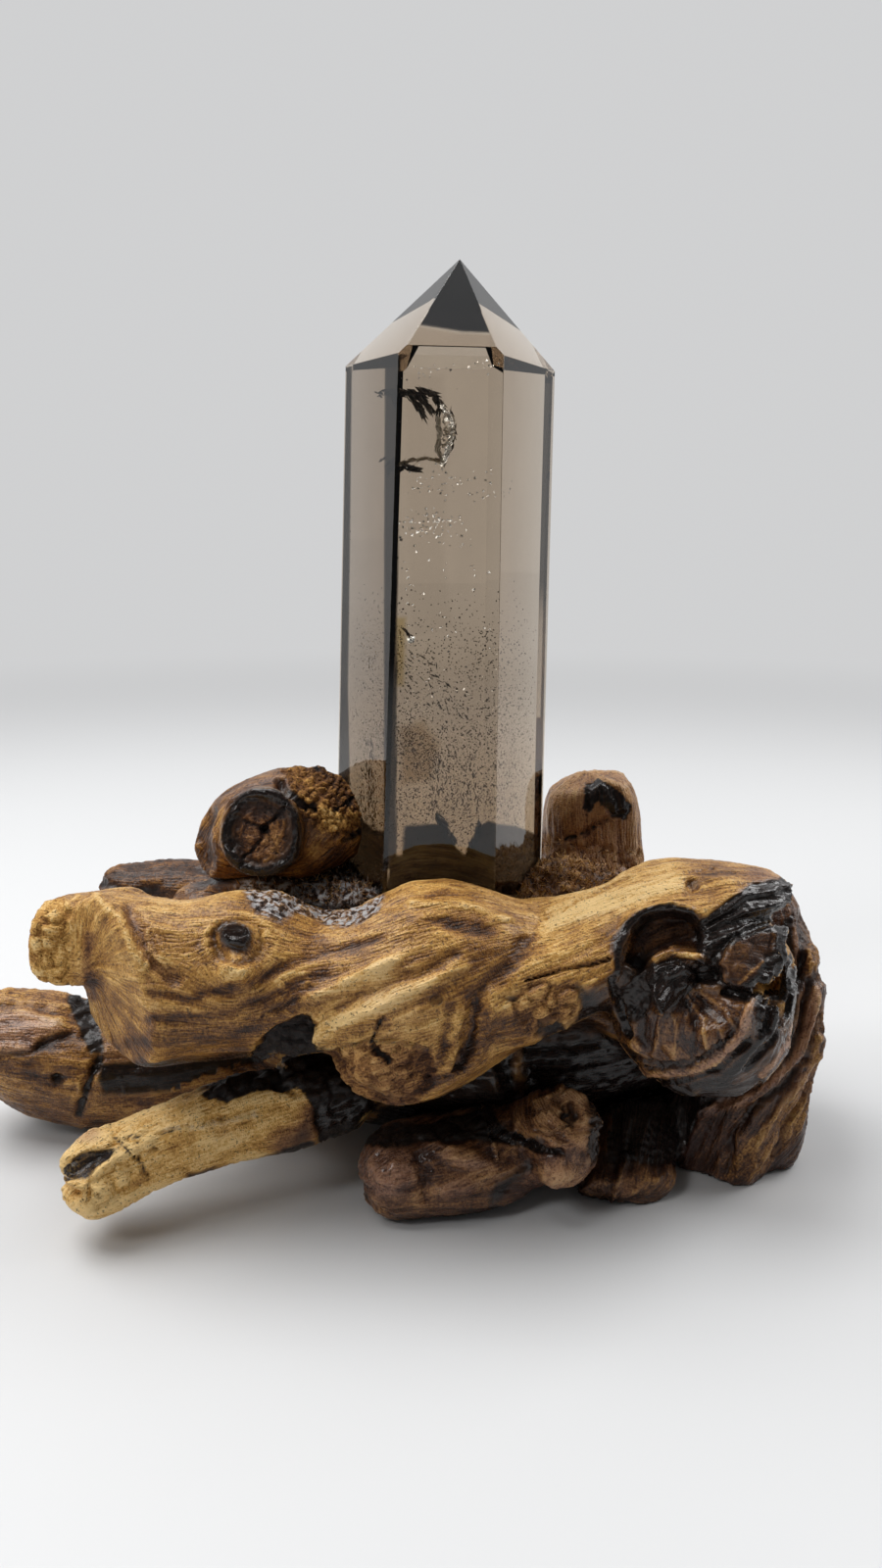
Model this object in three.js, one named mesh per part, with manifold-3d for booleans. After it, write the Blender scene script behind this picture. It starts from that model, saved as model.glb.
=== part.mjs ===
// A polished smoky quartz tower standing in the carved seat of a root wood base.
// Millimetres, +Z up, +X to the viewer's right, +Y away from the viewer.
// The wood is one grown root, split where its limbs fork, and the loose stone rests in it.
import * as THREE from "three";
import { ConvexGeometry } from "three/addons/geometries/ConvexGeometry.js";
import { ImprovedNoise } from "three/addons/math/ImprovedNoise.js";
import { mergeVertices } from "three/addons/utils/BufferGeometryUtils.js";
import Module from "manifold-3d";

const wasm = await Module();
wasm.setup();
const { Manifold, Mesh } = wasm;

// Driving dimensions
const stoneHeight = 186.6; // base to tip
const stoneHalfWidth = 32.2; // centre to the side edges, at the base
const stoneShoulderHalfWidth = 29.2; // the same where the point begins
const stoneFrontHalfWidth = 16.4; // half the width of the front face
const shoulderHeight = 158.5; // where the side faces meet the point
const frontShoulderHeight = 160.4; // the same on the front and back faces
const tipOffset = 1.9; // how far the tip stands to the right of the middle
const stoneLean = 1.3; // degrees, the tip leaning to the right
const seatHeight = 80; // the carved seat above the table
const seatDepth = 10; // how far the stone stands in the wood
const woodGap = 0.35; // clearance at each fork and round the stone
const lumpHeight = 1.9; // how far the wood swells and dips
const lumpLength = 21; // from one swell to the next

const up = new THREE.Vector3(0, 0, 1);
const noise = new ImprovedNoise();

// Solids

function solidOf(geometry) {
  const bare = geometry.clone();
  bare.deleteAttribute("normal");
  bare.deleteAttribute("uv");
  const welded = mergeVertices(bare, 1e-4);
  return new Manifold(
    new Mesh({
      numProp: 3,
      vertProperties: welded.attributes.position.array,
      triVerts: new Uint32Array(welded.index.array),
    }),
  );
}

function geometryOf(solid) {
  const { vertProperties, triVerts } = solid.getMesh();
  const geometry = new THREE.BufferGeometry();
  geometry.setAttribute("position", new THREE.BufferAttribute(vertProperties, 3));
  geometry.setIndex(new THREE.BufferAttribute(triVerts, 1));
  geometry.computeVertexNormals();
  return geometry;
}

const union = (solids) => solids.reduce((joined, next) => joined.add(next));

const largest = (solid) =>
  solid.decompose().reduce((best, next) => (next.volume() > best.volume() ? next : best));

// A smooth pseudo-random number from -1 to 1 that changes slowly from place to place.
function swell(point, length) {
  return noise.noise(point.x / length, point.y / length, point.z / length);
}

// A limb is a sphere drawn out along a curve. Each station is
// [x, y, z, half-width across, half-height]: the sections between them are interpolated.
function limb(spec, grow = 0) {
  const { stations, around = 16, along = 14, cap = [0.16, 0.16] } = spec;
  const { flutes = 4, fluteDepth = 0.05, twist = 0.6, reference = up } = spec;
  const route = new THREE.CatmullRomCurve3(stations.map(([x, y, z]) => new THREE.Vector3(x, y, z)));
  const girth = new THREE.CatmullRomCurve3(
    stations.map(([, , , across, high]) => new THREE.Vector3(across, high, 0)),
  );
  const geometry = new THREE.SphereGeometry(1, around, along);
  const position = geometry.attributes.position;
  const point = new THREE.Vector3();
  for (let i = 0; i < position.count; i++) {
    point.fromBufferAttribute(position, i);
    const t = Math.acos(THREE.MathUtils.clamp(point.y, -1, 1)) / Math.PI;
    const turn = Math.atan2(point.z, point.x);
    const open = Math.min(roundEnd(t / cap[0]), roundEnd((1 - t) / cap[1]));
    const tangent = route.getTangent(t);
    const across = new THREE.Vector3().crossVectors(reference, tangent).normalize();
    const high = new THREE.Vector3().crossVectors(tangent, across);
    const size = girth.getPoint(t);
    const flute = 1 + fluteDepth * Math.cos(flutes * turn + 2 * Math.PI * twist * t);
    const radius = open * flute;
    const out = new THREE.Vector3()
      .addScaledVector(across, Math.cos(turn) * (size.x + grow))
      .addScaledVector(high, Math.sin(turn) * (size.y + grow));
    const ends = t < cap[0] ? -1 : t > 1 - cap[1] ? 1 : 0;
    point
      .copy(route.getPoint(t))
      .addScaledVector(out, radius)
      .addScaledVector(tangent, ends * grow);
    const lump = swell(point, lumpLength) * lumpHeight * open;
    point.addScaledVector(out.normalize(), lump);
    position.setXYZ(i, point.x, point.y, point.z);
  }
  return solidOf(geometry);
}

// How far an end has opened: 0 at the pole, a quarter circle, then 1.
function roundEnd(share) {
  const rest = 1 - THREE.MathUtils.clamp(share, 0, 1);
  return Math.sqrt(1 - rest * rest);
}

// An ellipsoid, for a hollow or a lump: centre [x, y, z] and half-sizes [x, y, z].
function ball(centre, sizes) {
  const geometry = new THREE.SphereGeometry(1, 12, 8);
  geometry.rotateX(Math.PI / 2);
  geometry.scale(...sizes);
  geometry.translate(...centre);
  return solidOf(geometry);
}

// A block whose bottom face lies on the plane through a point: subtracting it saws flat there.
function beyond(point, normal, size = 300) {
  const geometry = new THREE.BoxGeometry(size, size, size);
  geometry.translate(0, 0, size / 2);
  const turn = new THREE.Quaternion().setFromUnitVectors(
    up,
    new THREE.Vector3(...normal).normalize(),
  );
  geometry.applyQuaternion(turn);
  geometry.translate(...point);
  return solidOf(geometry);
}

// The stone

// Each side face leans in a little towards the point. The point has one face above each side
// face, through the tip and the line where that side face ends.
function stonePlanes(grow = 0) {
  const slant = Math.PI / 6; // of the four slanting sides, from the line between the side edges
  const taper = (stoneHalfWidth - stoneShoulderHalfWidth) / shoulderHeight;
  const depth = (stoneHalfWidth - stoneFrontHalfWidth) / Math.tan(slant);
  const tip = new THREE.Vector3(tipOffset, 0, stoneHeight);
  const sides = [];
  for (const facing of [-1, 1]) {
    sides.push({ angle: (facing * Math.PI) / 2, reach: depth, lean: 0, top: frontShoulderHeight });
    for (const hand of [-1, 1]) {
      sides.push({
        angle: Math.atan2(facing * Math.sin(slant), hand * Math.cos(slant)),
        reach: stoneHalfWidth * Math.cos(slant),
        lean: taper * Math.cos(slant),
        top: shoulderHeight,
      });
    }
  }
  const planes = [{ normal: new THREE.Vector3(0, 0, -1), offset: grow }];
  for (const { angle, reach, lean, top } of sides) {
    const outward = new THREE.Vector3(Math.cos(angle), Math.sin(angle), 0);
    const side = outward.clone().setZ(lean).normalize();
    planes.push({ normal: side, offset: reach * side.dot(outward) + grow });
    const run = reach - lean * top - tip.dot(outward);
    const point = outward.clone().setZ(run / (stoneHeight - top)).normalize();
    planes.push({ normal: point, offset: point.dot(tip) + grow });
  }
  return planes;
}

// The corners where three planes meet, and that no other plane cuts away.
function cornersOf(planes) {
  const corners = [];
  const bound = 1e-4;
  planes.forEach((a, i) =>
    planes.slice(i + 1).forEach((b, j) =>
      planes.slice(i + j + 2).forEach((c) => {
        const bc = new THREE.Vector3().crossVectors(b.normal, c.normal);
        const span = a.normal.dot(bc);
        if (Math.abs(span) < 1e-6) return;
        const corner = bc
          .multiplyScalar(a.offset)
          .addScaledVector(new THREE.Vector3().crossVectors(c.normal, a.normal), b.offset)
          .addScaledVector(new THREE.Vector3().crossVectors(a.normal, b.normal), c.offset)
          .divideScalar(span);
        if (planes.every((p) => p.normal.dot(corner) < p.offset + bound)) corners.push(corner);
      }),
    ),
  );
  return corners.filter((p, i) => corners.findIndex((q) => q.distanceTo(p) < 0.01) === i);
}

function placeStone(geometry) {
  geometry.rotateY(THREE.MathUtils.degToRad(stoneLean));
  geometry.translate(-3, 0, seatHeight - seatDepth);
  return geometry;
}

const stone = placeStone(new ConvexGeometry(cornersOf(stonePlanes())));
const socket = solidOf(placeStone(new ConvexGeometry(cornersOf(stonePlanes(woodGap)))));

// The wood, limb by limb

const acrossRoot = new THREE.Vector3(0, 1, 0); // for limbs that rise

const crown = {
  around: 20,
  along: 16,
  cap: [0.14, 0.14],
  flutes: 5,
  fluteDepth: 0.04,
  stations: [
    [-72, 3, 50, 18, 20],
    [-48, 4, 43, 34, 33],
    [-16, 2, 39, 42, 43],
    [16, 0, 39, 42, 43],
    [46, -2, 41, 38, 40],
    [74, -4, 44, 28, 34],
    [94, -6, 48, 15, 24],
  ],
};

const mainLimb = {
  around: 18,
  along: 30,
  cap: [0.05, 0.06],
  flutes: 3,
  fluteDepth: 0.03,
  stations: [
    [-106, -43, 68, 19, 19],
    [-95, -44, 67.5, 22.5, 21.5],
    [-83, -45, 65, 23, 23.5],
    [-68, -45, 65.5, 21.5, 22],
    [-53, -43, 67, 22, 22.5],
    [-38, -42, 64, 23, 18],
    [-23, -42.5, 65, 25, 18.5],
    [-9, -43, 67.5, 26, 23],
    [5, -42.5, 67, 26, 23],
    [17, -41, 66, 25, 20],
    [29, -40, 68, 24, 16],
    [44, -38, 75, 22, 14.5],
    [63, -36, 84, 20, 11],
    [84, -34, 87, 16, 6],
    [97, -31, 88, 9, 4],
  ],
  sawn: [[[-89, -53, 68], [-0.72, -0.69, -0.06]]],
};

const barkEnd = {
  along: 10,
  fluteDepth: 0.09,
  stations: [
    [-82, -30, 71, 14, 14],
    [-98, -33, 72, 14, 14],
    [-109, -35, 72.5, 13, 12.5],
    [-118, -36, 73, 10, 8.5],
  ],
};

const belly = {
  stations: [
    [14, -38, 62, 20, 18],
    [-4, -49, 55, 20, 19],
    [-18, -56, 49, 17, 15],
    [-29, -61, 44, 13, 11],
  ],
  sawn: [[[-25, -64, 43], [-0.4, -0.6, -0.7]]],
};

const endBurl = {
  around: 18,
  along: 14,
  cap: [0.4, 0.4],
  reference: acrossRoot,
  stations: [
    [70, -38, 90, 18, 20],
    [70, -41, 74, 25, 25],
    [70, -42, 58, 27, 27],
    [69, -42, 44, 23, 24],
    [67, -40, 32, 13, 16],
  ],
};

const rightLobe = {
  around: 18,
  along: 14,
  reference: acrossRoot,
  cap: [0.3, 0.1],
  flutes: 6,
  fluteDepth: 0.07,
  stations: [
    [96, -8, 86, 8, 13],
    [98, -8, 70, 11, 22],
    [97, -10, 53, 15.5, 27],
    [93, -14, 36, 18.5, 29],
    [89, -18, 18, 20, 27],
    [86, -21, 0, 20, 24],
    [84, -21, -18, 20, 20],
  ],
};

const frontFoot = {
  stations: [
    [34, -26, 15, 18, 15],
    [16, -40, 12, 18, 13],
    [0, -47, 10.5, 17, 13],
    [-14, -52, 10.5, 15, 12],
    [-25, -55, 11.5, 10, 9],
  ],
};

const footKnob = {
  along: 10,
  stations: [
    [20, -28, 16, 12, 12],
    [28, -44, 19, 12, 12],
    [33, -56, 21, 11, 11],
    [36, -62, 22, 8, 8],
  ],
};

const middleFoot = {
  along: 10,
  stations: [
    [56, -14, 14, 18, 14],
    [52, -32, 8, 17, 11],
    [49, -46, 4, 15, 8],
    [48, -54, 2, 10, 5],
  ],
};

const forkedBranch = {
  along: 18,
  cap: [0.1, 0.1],
  stations: [
    [-24, -30, 26, 14, 13],
    [-42, -43, 25, 12, 12],
    [-60, -51, 25, 11, 12],
    [-76, -58, 23, 10, 10.5],
    [-90, -64, 19, 10, 10.5],
    [-104, -69, 15, 9, 9],
  ],
};

const farLeftLimb = {
  along: 16,
  stations: [
    [-152, -11, 28, 11, 12],
    [-140, -10, 28, 15, 16],
    [-124, -10, 23, 18, 19],
    [-104, -9, 18, 18, 18],
    [-78, -6, 20, 17, 16],
    [-50, -2, 26, 18, 17],
  ],
};

const backLeftStub = {
  along: 10,
  cap: [0.08, 0.16],
  stations: [
    [-118, 22, 69, 9, 6],
    [-100, 22, 68, 11, 8],
    [-76, 18, 69, 12, 10],
    [-50, 10, 68, 14, 13],
  ],
};

const knotArm = {
  cap: [0.2, 0.2],
  stations: [
    [-70, -5, 79, 8, 9],
    [-65, -6, 89, 13, 13],
    [-56, -7, 96.5, 16, 15.5],
    [-43, -8, 98.5, 17, 17.5],
    [-32, -11, 96, 14, 14],
    [-25, -13, 92, 8, 8],
  ],
};

const knotStub = {
  along: 10,
  cap: [0.2, 0.12],
  stations: [
    [-46, -4, 98, 11, 11],
    [-50, -14, 100, 12, 12],
    [-52.5, -24, 102, 12, 12.5],
    [-54, -34, 103, 11.5, 12],
  ],
  sawn: [[[-52.3, -29, 102.2], [-0.25, -0.93, 0.25]]],
};

const backRightStub = {
  along: 10,
  reference: acrossRoot,
  cap: [0.12, 0.16],
  stations: [
    [48, 22, 58, 18, 15],
    [48, 23, 78, 17, 13.5],
    [47.5, 24, 94, 16.5, 12.5],
    [45, 24, 108, 13, 11],
  ],
};

const rearLeftRoot = {
  along: 12,
  stations: [
    [-24, 20, 34, 20, 22],
    [-52, 36, 25, 17, 18],
    [-76, 46, 17, 14, 15],
    [-92, 50, 12, 11, 12],
  ],
};

const rearRightRoot = {
  along: 12,
  stations: [
    [34, 18, 34, 20, 22],
    [54, 36, 24, 17, 18],
    [68, 48, 15, 14, 14],
    [78, 54, 10, 10, 10],
  ],
};

// Small round lumps grown on the limbs
const limbKnot = ball([-54, -64.5, 76], [4.5, 3.5, 4]);
const burlNose = ball([69, -64, 60], [6.5, 7, 6.5]);

// Hollows carved or decayed into them
const archHollow = [
  ball([58, -65, 73], [9, 7, 8]),
  ball([65, -68, 68], [7, 6, 6]),
];
const innerHollow = [ball([84, -62, 72], [9, 9, 6]), ball([89, -58, 65], [7, 8, 8])];
const seatHollows = [ball([-36, -25, 91], [20, 14, 11]), ball([33, -21, 93], [24, 17, 13])];
const forkNotch = ball([-108, -73, 17.5], [15, 9, 3.6]);

const underTable = beyond([0, 0, 0], [0, 0, -1]);
const aboveSeat = beyond([0, 0, seatHeight], [0, 0, 1]);

// Each entry: the node's name, its limbs and lumps, and what is carved off the whole.
const wood = [
  { name: "root_crown", limbs: [crown], carved: [aboveSeat] },
  {
    name: "main_limb",
    limbs: [mainLimb, barkEnd, belly, endBurl],
    lumps: [limbKnot, burlNose],
    carved: [...archHollow, ...innerHollow, ...seatHollows],
  },
  { name: "knot_arm", limbs: [knotArm, knotStub] },
  { name: "forked_branch", limbs: [forkedBranch], carved: [forkNotch] },
  { name: "far_left_limb", limbs: [farLeftLimb] },
  { name: "front_foot", limbs: [frontFoot, footKnob] },
  { name: "middle_foot", limbs: [middleFoot] },
  { name: "right_lobe", limbs: [rightLobe] },
  { name: "back_left_stub", limbs: [backLeftStub] },
  { name: "back_right_stub", limbs: [backRightStub] },
  { name: "rear_left_root", limbs: [rearLeftRoot] },
  { name: "rear_right_root", limbs: [rearRightRoot] },
];

const sawnLimb = (spec) =>
  (spec.sawn ?? []).reduce((left, cut) => left.subtract(beyond(...cut)), limb(spec));

// Where two limbs meet, the one listed first keeps its form and the other is cut back to it.
function splitAtForks() {
  const solids = new Map();
  let taken = socket;
  for (const { name, limbs, lumps = [], carved = [] } of wood) {
    const whole = union([...limbs.map(sawnLimb), ...lumps]);
    const cut = [taken, underTable, ...carved];
    solids.set(name, largest(cut.reduce((left, tool) => left.subtract(tool), whole)));
    taken = union([taken, ...limbs.map((spec) => limb(spec, woodGap))]);
  }
  return solids;
}

// Materials

const quartz = new THREE.MeshStandardMaterial({
  color: 0x8b7d6e,
  roughness: 0.04,
  metalness: 0,
  transparent: true,
  opacity: 0.45,
});
const rootWood = new THREE.MeshStandardMaterial({ color: 0x9a6a34, roughness: 0.5, metalness: 0 });

// The assembly, with its origin on the table below the middle of its bounding box

const tower = new THREE.Group();
const stoneMesh = new THREE.Mesh(stone, quartz);
stoneMesh.name = "quartz_tower";
tower.add(stoneMesh);
for (const [name, solid] of splitAtForks()) {
  const mesh = new THREE.Mesh(geometryOf(solid), rootWood);
  mesh.name = name;
  tower.add(mesh);
}
const middle = new THREE.Box3().setFromObject(tower, true).getCenter(new THREE.Vector3());
tower.position.set(-middle.x, -middle.y, 0);

export default tower;
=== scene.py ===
import math
from itertools import product

import bmesh
import bpy
import numpy as np
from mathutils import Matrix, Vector
from mathutils.bvhtree import BVHTree


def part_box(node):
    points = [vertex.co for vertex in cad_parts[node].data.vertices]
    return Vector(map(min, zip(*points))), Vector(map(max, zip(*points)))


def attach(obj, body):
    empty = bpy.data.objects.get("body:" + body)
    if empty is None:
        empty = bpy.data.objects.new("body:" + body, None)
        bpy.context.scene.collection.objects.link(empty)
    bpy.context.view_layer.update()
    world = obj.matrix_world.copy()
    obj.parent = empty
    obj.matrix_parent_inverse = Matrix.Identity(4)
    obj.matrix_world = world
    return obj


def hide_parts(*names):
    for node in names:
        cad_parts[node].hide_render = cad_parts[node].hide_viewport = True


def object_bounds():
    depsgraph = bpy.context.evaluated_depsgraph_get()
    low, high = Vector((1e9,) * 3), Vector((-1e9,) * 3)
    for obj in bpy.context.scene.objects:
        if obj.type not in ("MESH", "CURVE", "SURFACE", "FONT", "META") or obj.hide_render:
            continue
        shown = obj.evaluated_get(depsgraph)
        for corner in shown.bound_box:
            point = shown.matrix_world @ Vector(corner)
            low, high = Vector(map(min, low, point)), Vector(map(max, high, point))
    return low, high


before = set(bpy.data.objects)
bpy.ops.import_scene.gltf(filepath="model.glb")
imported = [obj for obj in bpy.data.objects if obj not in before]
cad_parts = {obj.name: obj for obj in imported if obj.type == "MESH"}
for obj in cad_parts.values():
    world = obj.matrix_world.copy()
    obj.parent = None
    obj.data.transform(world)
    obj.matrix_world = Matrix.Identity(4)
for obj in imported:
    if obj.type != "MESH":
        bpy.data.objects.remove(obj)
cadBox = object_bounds()

mm = 0.001
least = 1e-12  # these two keep a division away from zero
small = 1e-9
farOff = 1e9  # further than anything here

# Everything below is worked out in plan millimetres: x to the right, y away from the viewer,
# z up, with the tower's middle 3 mm left of the plan's origin.
towerLow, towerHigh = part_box("quartz_tower")
towerLeftEdge = -35.2
planOrigin = np.array([towerLow.x / mm - towerLeftEdge, (towerLow.y + towerHigh.y) / 2 / mm, 0.0])
boxMargin = 0.05  # mm by which the visible wood stays inside the CAD box
boxLow = np.array(cadBox[0]) / mm - planOrigin + boxMargin
boxHigh = np.array(cadBox[1]) / mm - planOrigin - boxMargin


def toPlan(points):
    return np.asarray(points, float) / mm - planOrigin


def fromPlan(points):
    return (np.asarray(points, float) + planOrigin) * mm


def unitRows(vectors, floor=least):
    return vectors / (np.linalg.norm(vectors, axis=1, keepdims=True) + floor)


# Camera

photoCamera = {
    "place": (-2.0, -314.4, 187.5),
    "tilt": 14.0,  # degrees below level
    "focalPixels": 1080.0,
    "width": 900,
    "height": 1600,
    "sensor": 36.0,  # mm along the picture's height
    "clip": (0.01, 20.0),
}


def buildCamera():
    spec = photoCamera
    data = bpy.data.cameras.new("photoCamera")
    data.sensor_width = spec["sensor"]
    data.lens = spec["sensor"] * spec["focalPixels"] / spec["height"]
    data.clip_start, data.clip_end = spec["clip"]
    camera = bpy.data.objects.new("photoCamera", data)
    bpy.context.scene.collection.objects.link(camera)
    camera.location = Vector(fromPlan(spec["place"]))
    camera.rotation_euler = (math.radians(90 - spec["tilt"]), 0, 0)
    bpy.context.scene.camera = camera


def photoPlace(points):
    # where plan points fall in the photo, in its pixels, and how far away they are
    spec = photoCamera
    tilt = math.radians(spec["tilt"])
    away = np.asarray(points) - np.array(spec["place"])
    depth = away @ np.array([0, math.cos(tilt), -math.sin(tilt)])
    down = away @ np.array([0, -math.sin(tilt), -math.cos(tilt)])
    u = spec["width"] / 2 + spec["focalPixels"] * away[:, 0] / depth
    v = spec["height"] / 2 + spec["focalPixels"] * down / depth
    return u, v, depth


# Noise

latticeHash = {
    "axes": (374761393, 668265263, 2246822519),  # large factors that scatter whole numbers
    "seed": 3266489917,
    "mixes": ((13, 1274126177), (15, 2654435769)),
    "lastShift": 16,
    "largest": 0xFFFFFFFF,
}

noiseShape = {
    "layerScale": 0.5,  # each layer's height and size, beside the one before
    "layerSum": 1.6,
    "drawnFade": 0.7,  # how much less the ends of a streak weigh
    "drawnSpread": 2.2,
}


def latticeValue(x, y, z, seed):
    # a value from 0 to 1 for each corner of a lattice of whole numbers
    spec = latticeHash
    h = np.uint32(seed * spec["seed"] & spec["largest"])
    for axis, factor in zip((x, y, z), spec["axes"]):
        h = h + axis.astype(np.uint32) * np.uint32(factor)
    for shift, factor in spec["mixes"]:
        h = (h ^ (h >> np.uint32(shift))) * np.uint32(factor)
    h = h ^ (h >> np.uint32(spec["lastShift"]))
    return h.astype(np.float64) / spec["largest"]


def smoothStep(t):
    return t * t * (3 - 2 * t)


def fadeBetween(value, low, high):
    return smoothStep(np.clip((value - low) / (high - low), 0, 1))


def softNoise(points, size, seed=0):
    # smooth values from -1 to 1 that change over about size mm
    p = points / size
    base = np.floor(p).astype(np.int64)
    part = smoothStep(p - base)
    total = np.zeros(len(p))
    for dx, dy, dz in product((0, 1), repeat=3):
        weight = np.abs(1 - dx - part[:, 0]) * np.abs(1 - dy - part[:, 1]) * np.abs(1 - dz - part[:, 2])
        total += weight * latticeValue(base[:, 0] + dx, base[:, 1] + dy, base[:, 2] + dz, seed)
    return total * 2 - 1


def layeredNoise(points, size, seed=0, layers=3):
    total = np.zeros(len(points))
    for layer in range(layers):
        scale = noiseShape["layerScale"] ** layer
        total += scale * softNoise(points, size * scale, seed + layer)
    return total / noiseShape["layerSum"]


def cellNoise(points, size, seed=0):
    # distance to the nearest scattered point, and how much further the second one is
    p = points / size
    base = np.floor(p).astype(np.int64)
    first, second = np.full(len(p), farOff), np.full(len(p), farOff)
    for step in product((-1, 0, 1), repeat=3):
        cell = (base + step).T
        spot = np.stack([cell[k] + latticeValue(*cell, seed + k) for k in range(3)], 1)
        far = np.linalg.norm(spot - p, axis=1)
        second = np.minimum(second, np.maximum(first, far))
        first = np.minimum(first, far)
    return first, second - first


def drawnNoise(points, grain, width, reach, seed=0, steps=9):
    # noise smeared along the grain, so that it makes streaks width mm across
    total, weights = np.zeros(len(points)), 0.0
    for step in np.linspace(-1, 1, steps):
        weight = 1 - noiseShape["drawnFade"] * step * step
        total += weight * softNoise(points + grain * (step * reach), width, seed)
        weights += weight
    total /= weights
    return np.clip(total / (noiseShape["drawnSpread"] * total.std() + small), -1, 1)


# Mesh helpers

weldSteps = 50  # to the mm: corners that round to the same step are one corner


def pulled(items, key, width, kind):
    values = np.zeros(len(items) * width, kind)
    items.foreach_get(key, values)
    return values


def readMesh(mesh):
    points = pulled(mesh.vertices, "co", 3, np.float32).reshape(-1, 3).astype(float)
    corners = pulled(mesh.loops, "vertex_index", 1, np.int32)
    return points, corners, pulled(mesh.edges, "vertices", 2, np.int32).reshape(-1, 2)


def weldedSolid(node):
    # a CAD solid's points in plan mm and its triangles, with shared corners merged
    points, corners, _ = readMesh(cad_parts[node].data)
    points = toPlan(points)
    steps = np.round(points * weldSteps).astype(np.int64)
    _, first, same = np.unique(steps, axis=0, return_index=True, return_inverse=True)
    triangles = same.reshape(-1)[corners].reshape(-1, 3)
    a, b, c = triangles.T
    flat = (a == b) | (b == c) | (a == c)
    return points[first], triangles[~flat]


def gathered(face, polygons, count):
    # the mean direction, at each point, of the faces round it
    total = np.zeros((count, 3))
    for k, axis in product(range(polygons.shape[1]), range(3)):
        total[:, axis] += np.bincount(polygons[:, k], face[:, axis], count)
    return unitRows(total)


def cornerNormals(points, triangles):
    a, b, c = (points[triangles[:, k]] for k in range(3))
    return gathered(np.cross(b - a, c - a), triangles, len(points))


def quadNormals(points, quads):
    a, b, c, d = (points[quads[:, k]] for k in range(4))
    return gathered(np.cross(c - a, d - b), quads, len(points))


def swollenSolid(node, swell):
    points, triangles = weldedSolid(node)
    return points + cornerNormals(points, triangles) * swell, triangles


def blobSolid(centre, sizes, rings=10, around=16):
    # an ellipsoid, to be melted into the wood by the remesh
    rows = [[0.0, 0.0, 1.0]]
    for ring in range(1, rings):
        lift = math.pi * ring / rings
        for k in range(around):
            turn = 2 * math.pi * k / around
            rows.append([math.sin(lift) * math.cos(turn), math.sin(lift) * math.sin(turn), math.cos(lift)])
    rows.append([0.0, 0.0, -1.0])
    triangles = []
    for k in range(around):
        after = (k + 1) % around
        triangles.append((0, 1 + k, 1 + after))
        for ring in range(rings - 2):
            a, b = 1 + ring * around + k, 1 + ring * around + after
            triangles += [(a, a + around, b + around), (a, b + around, b)]
        low = 1 + (rings - 2) * around
        triangles.append((low + k, len(rows) - 1, low + after))
    return np.array(rows) * np.array(sizes) + np.array(centre), np.array(triangles)


def joinedSolids(solids):
    # one list of points and one of faces for several shapes
    starts = np.cumsum([0] + [len(points) for points, _ in solids])
    faces = [faces + start for (_, faces), start in zip(solids, starts)]
    return np.concatenate([points for points, _ in solids]), np.concatenate(faces)


def voxelSkin(points, faces, size):
    # one even skin of quads round closed solids, all in plan mm
    mesh = bpy.data.meshes.new("skin")
    mesh.from_pydata(points.tolist(), [], faces.tolist())
    holder = bpy.data.objects.new("skin", mesh)
    bpy.context.scene.collection.objects.link(holder)
    remesh = holder.modifiers.new("remesh", "REMESH")
    remesh.mode = "VOXEL"
    remesh.voxel_size = size
    remesh.adaptivity = 0
    evaluated = holder.evaluated_get(bpy.context.evaluated_depsgraph_get())
    result, corners, edges = readMesh(evaluated.data)
    bpy.data.objects.remove(holder)
    bpy.data.meshes.remove(mesh)
    return outerSkin(result, corners.reshape(-1, 4), edges)


def outerSkin(points, quads, edges):
    # keeps the largest connected skin and drops the islands that the remesh leaves inside
    label = np.arange(len(points))
    while True:
        low = np.minimum(label[edges[:, 0]], label[edges[:, 1]])
        new = label.copy()
        np.minimum.at(new, edges[:, 0], low)
        np.minimum.at(new, edges[:, 1], low)
        new = new[new]
        if (new == label).all():
            break
        label = new
    kept = label == np.bincount(label).argmax()
    index = np.cumsum(kept) - 1
    return points[kept], index[quads[kept[quads[:, 0]]]], index[edges[kept[edges[:, 0]]]]


def neighbourSum(values, edges):
    a, b = edges[:, 0], edges[:, 1]
    return np.bincount(a, values[b], len(values)) + np.bincount(b, values[a], len(values))


def relaxed(points, edges, rounds, amount=0.5):
    count = np.bincount(edges.ravel(), minlength=len(points))[:, None]
    amount = np.reshape(amount, (-1, 1))
    for _ in range(rounds):
        total = np.stack([neighbourSum(points[:, k], edges) for k in range(3)], 1)
        points = points + amount * (total / count - points)
    return points


def addPiece(name, points, faces, attributes=None, smooth=True):
    mesh = bpy.data.meshes.new(name)
    faces = faces.tolist() if hasattr(faces, "tolist") else faces
    mesh.from_pydata(fromPlan(points).tolist(), [], faces)
    mesh.polygons.foreach_set("use_smooth", np.full(len(mesh.polygons), smooth))
    for key, values in (attributes or {}).items():
        values = np.asarray(values, np.float32)
        kind, field = ("FLOAT_VECTOR", "vector") if values.ndim == 2 else ("FLOAT", "value")
        mesh.attributes.new(key, kind, "POINT").data.foreach_set(field, values.reshape(-1))
    mesh.update()
    piece = bpy.data.objects.new(name, mesh)
    bpy.context.scene.collection.objects.link(piece)
    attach(piece, "root")
    return piece


# Marks: features placed by photo pixels, which shape and colour the wood

def stroke(half, *line, **finish):
    # along a line of places, fading out half pixels away from it
    return {"line": line, "half": half, **finish}


def crack(half, deep, char, *line):
    # a sunken groove, darkened along its line
    return stroke(half, *line, lift=-deep, char=char)


def ridge(half, high, tone, *line):
    # a raised, paler line
    return stroke(half, *line, lift=high, tone=tone)


def patch(soft, *area, **finish):
    # inside a closed outline, with an edge that is soft pixels wide
    return {"area": area, "soft": soft, **finish}


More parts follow.
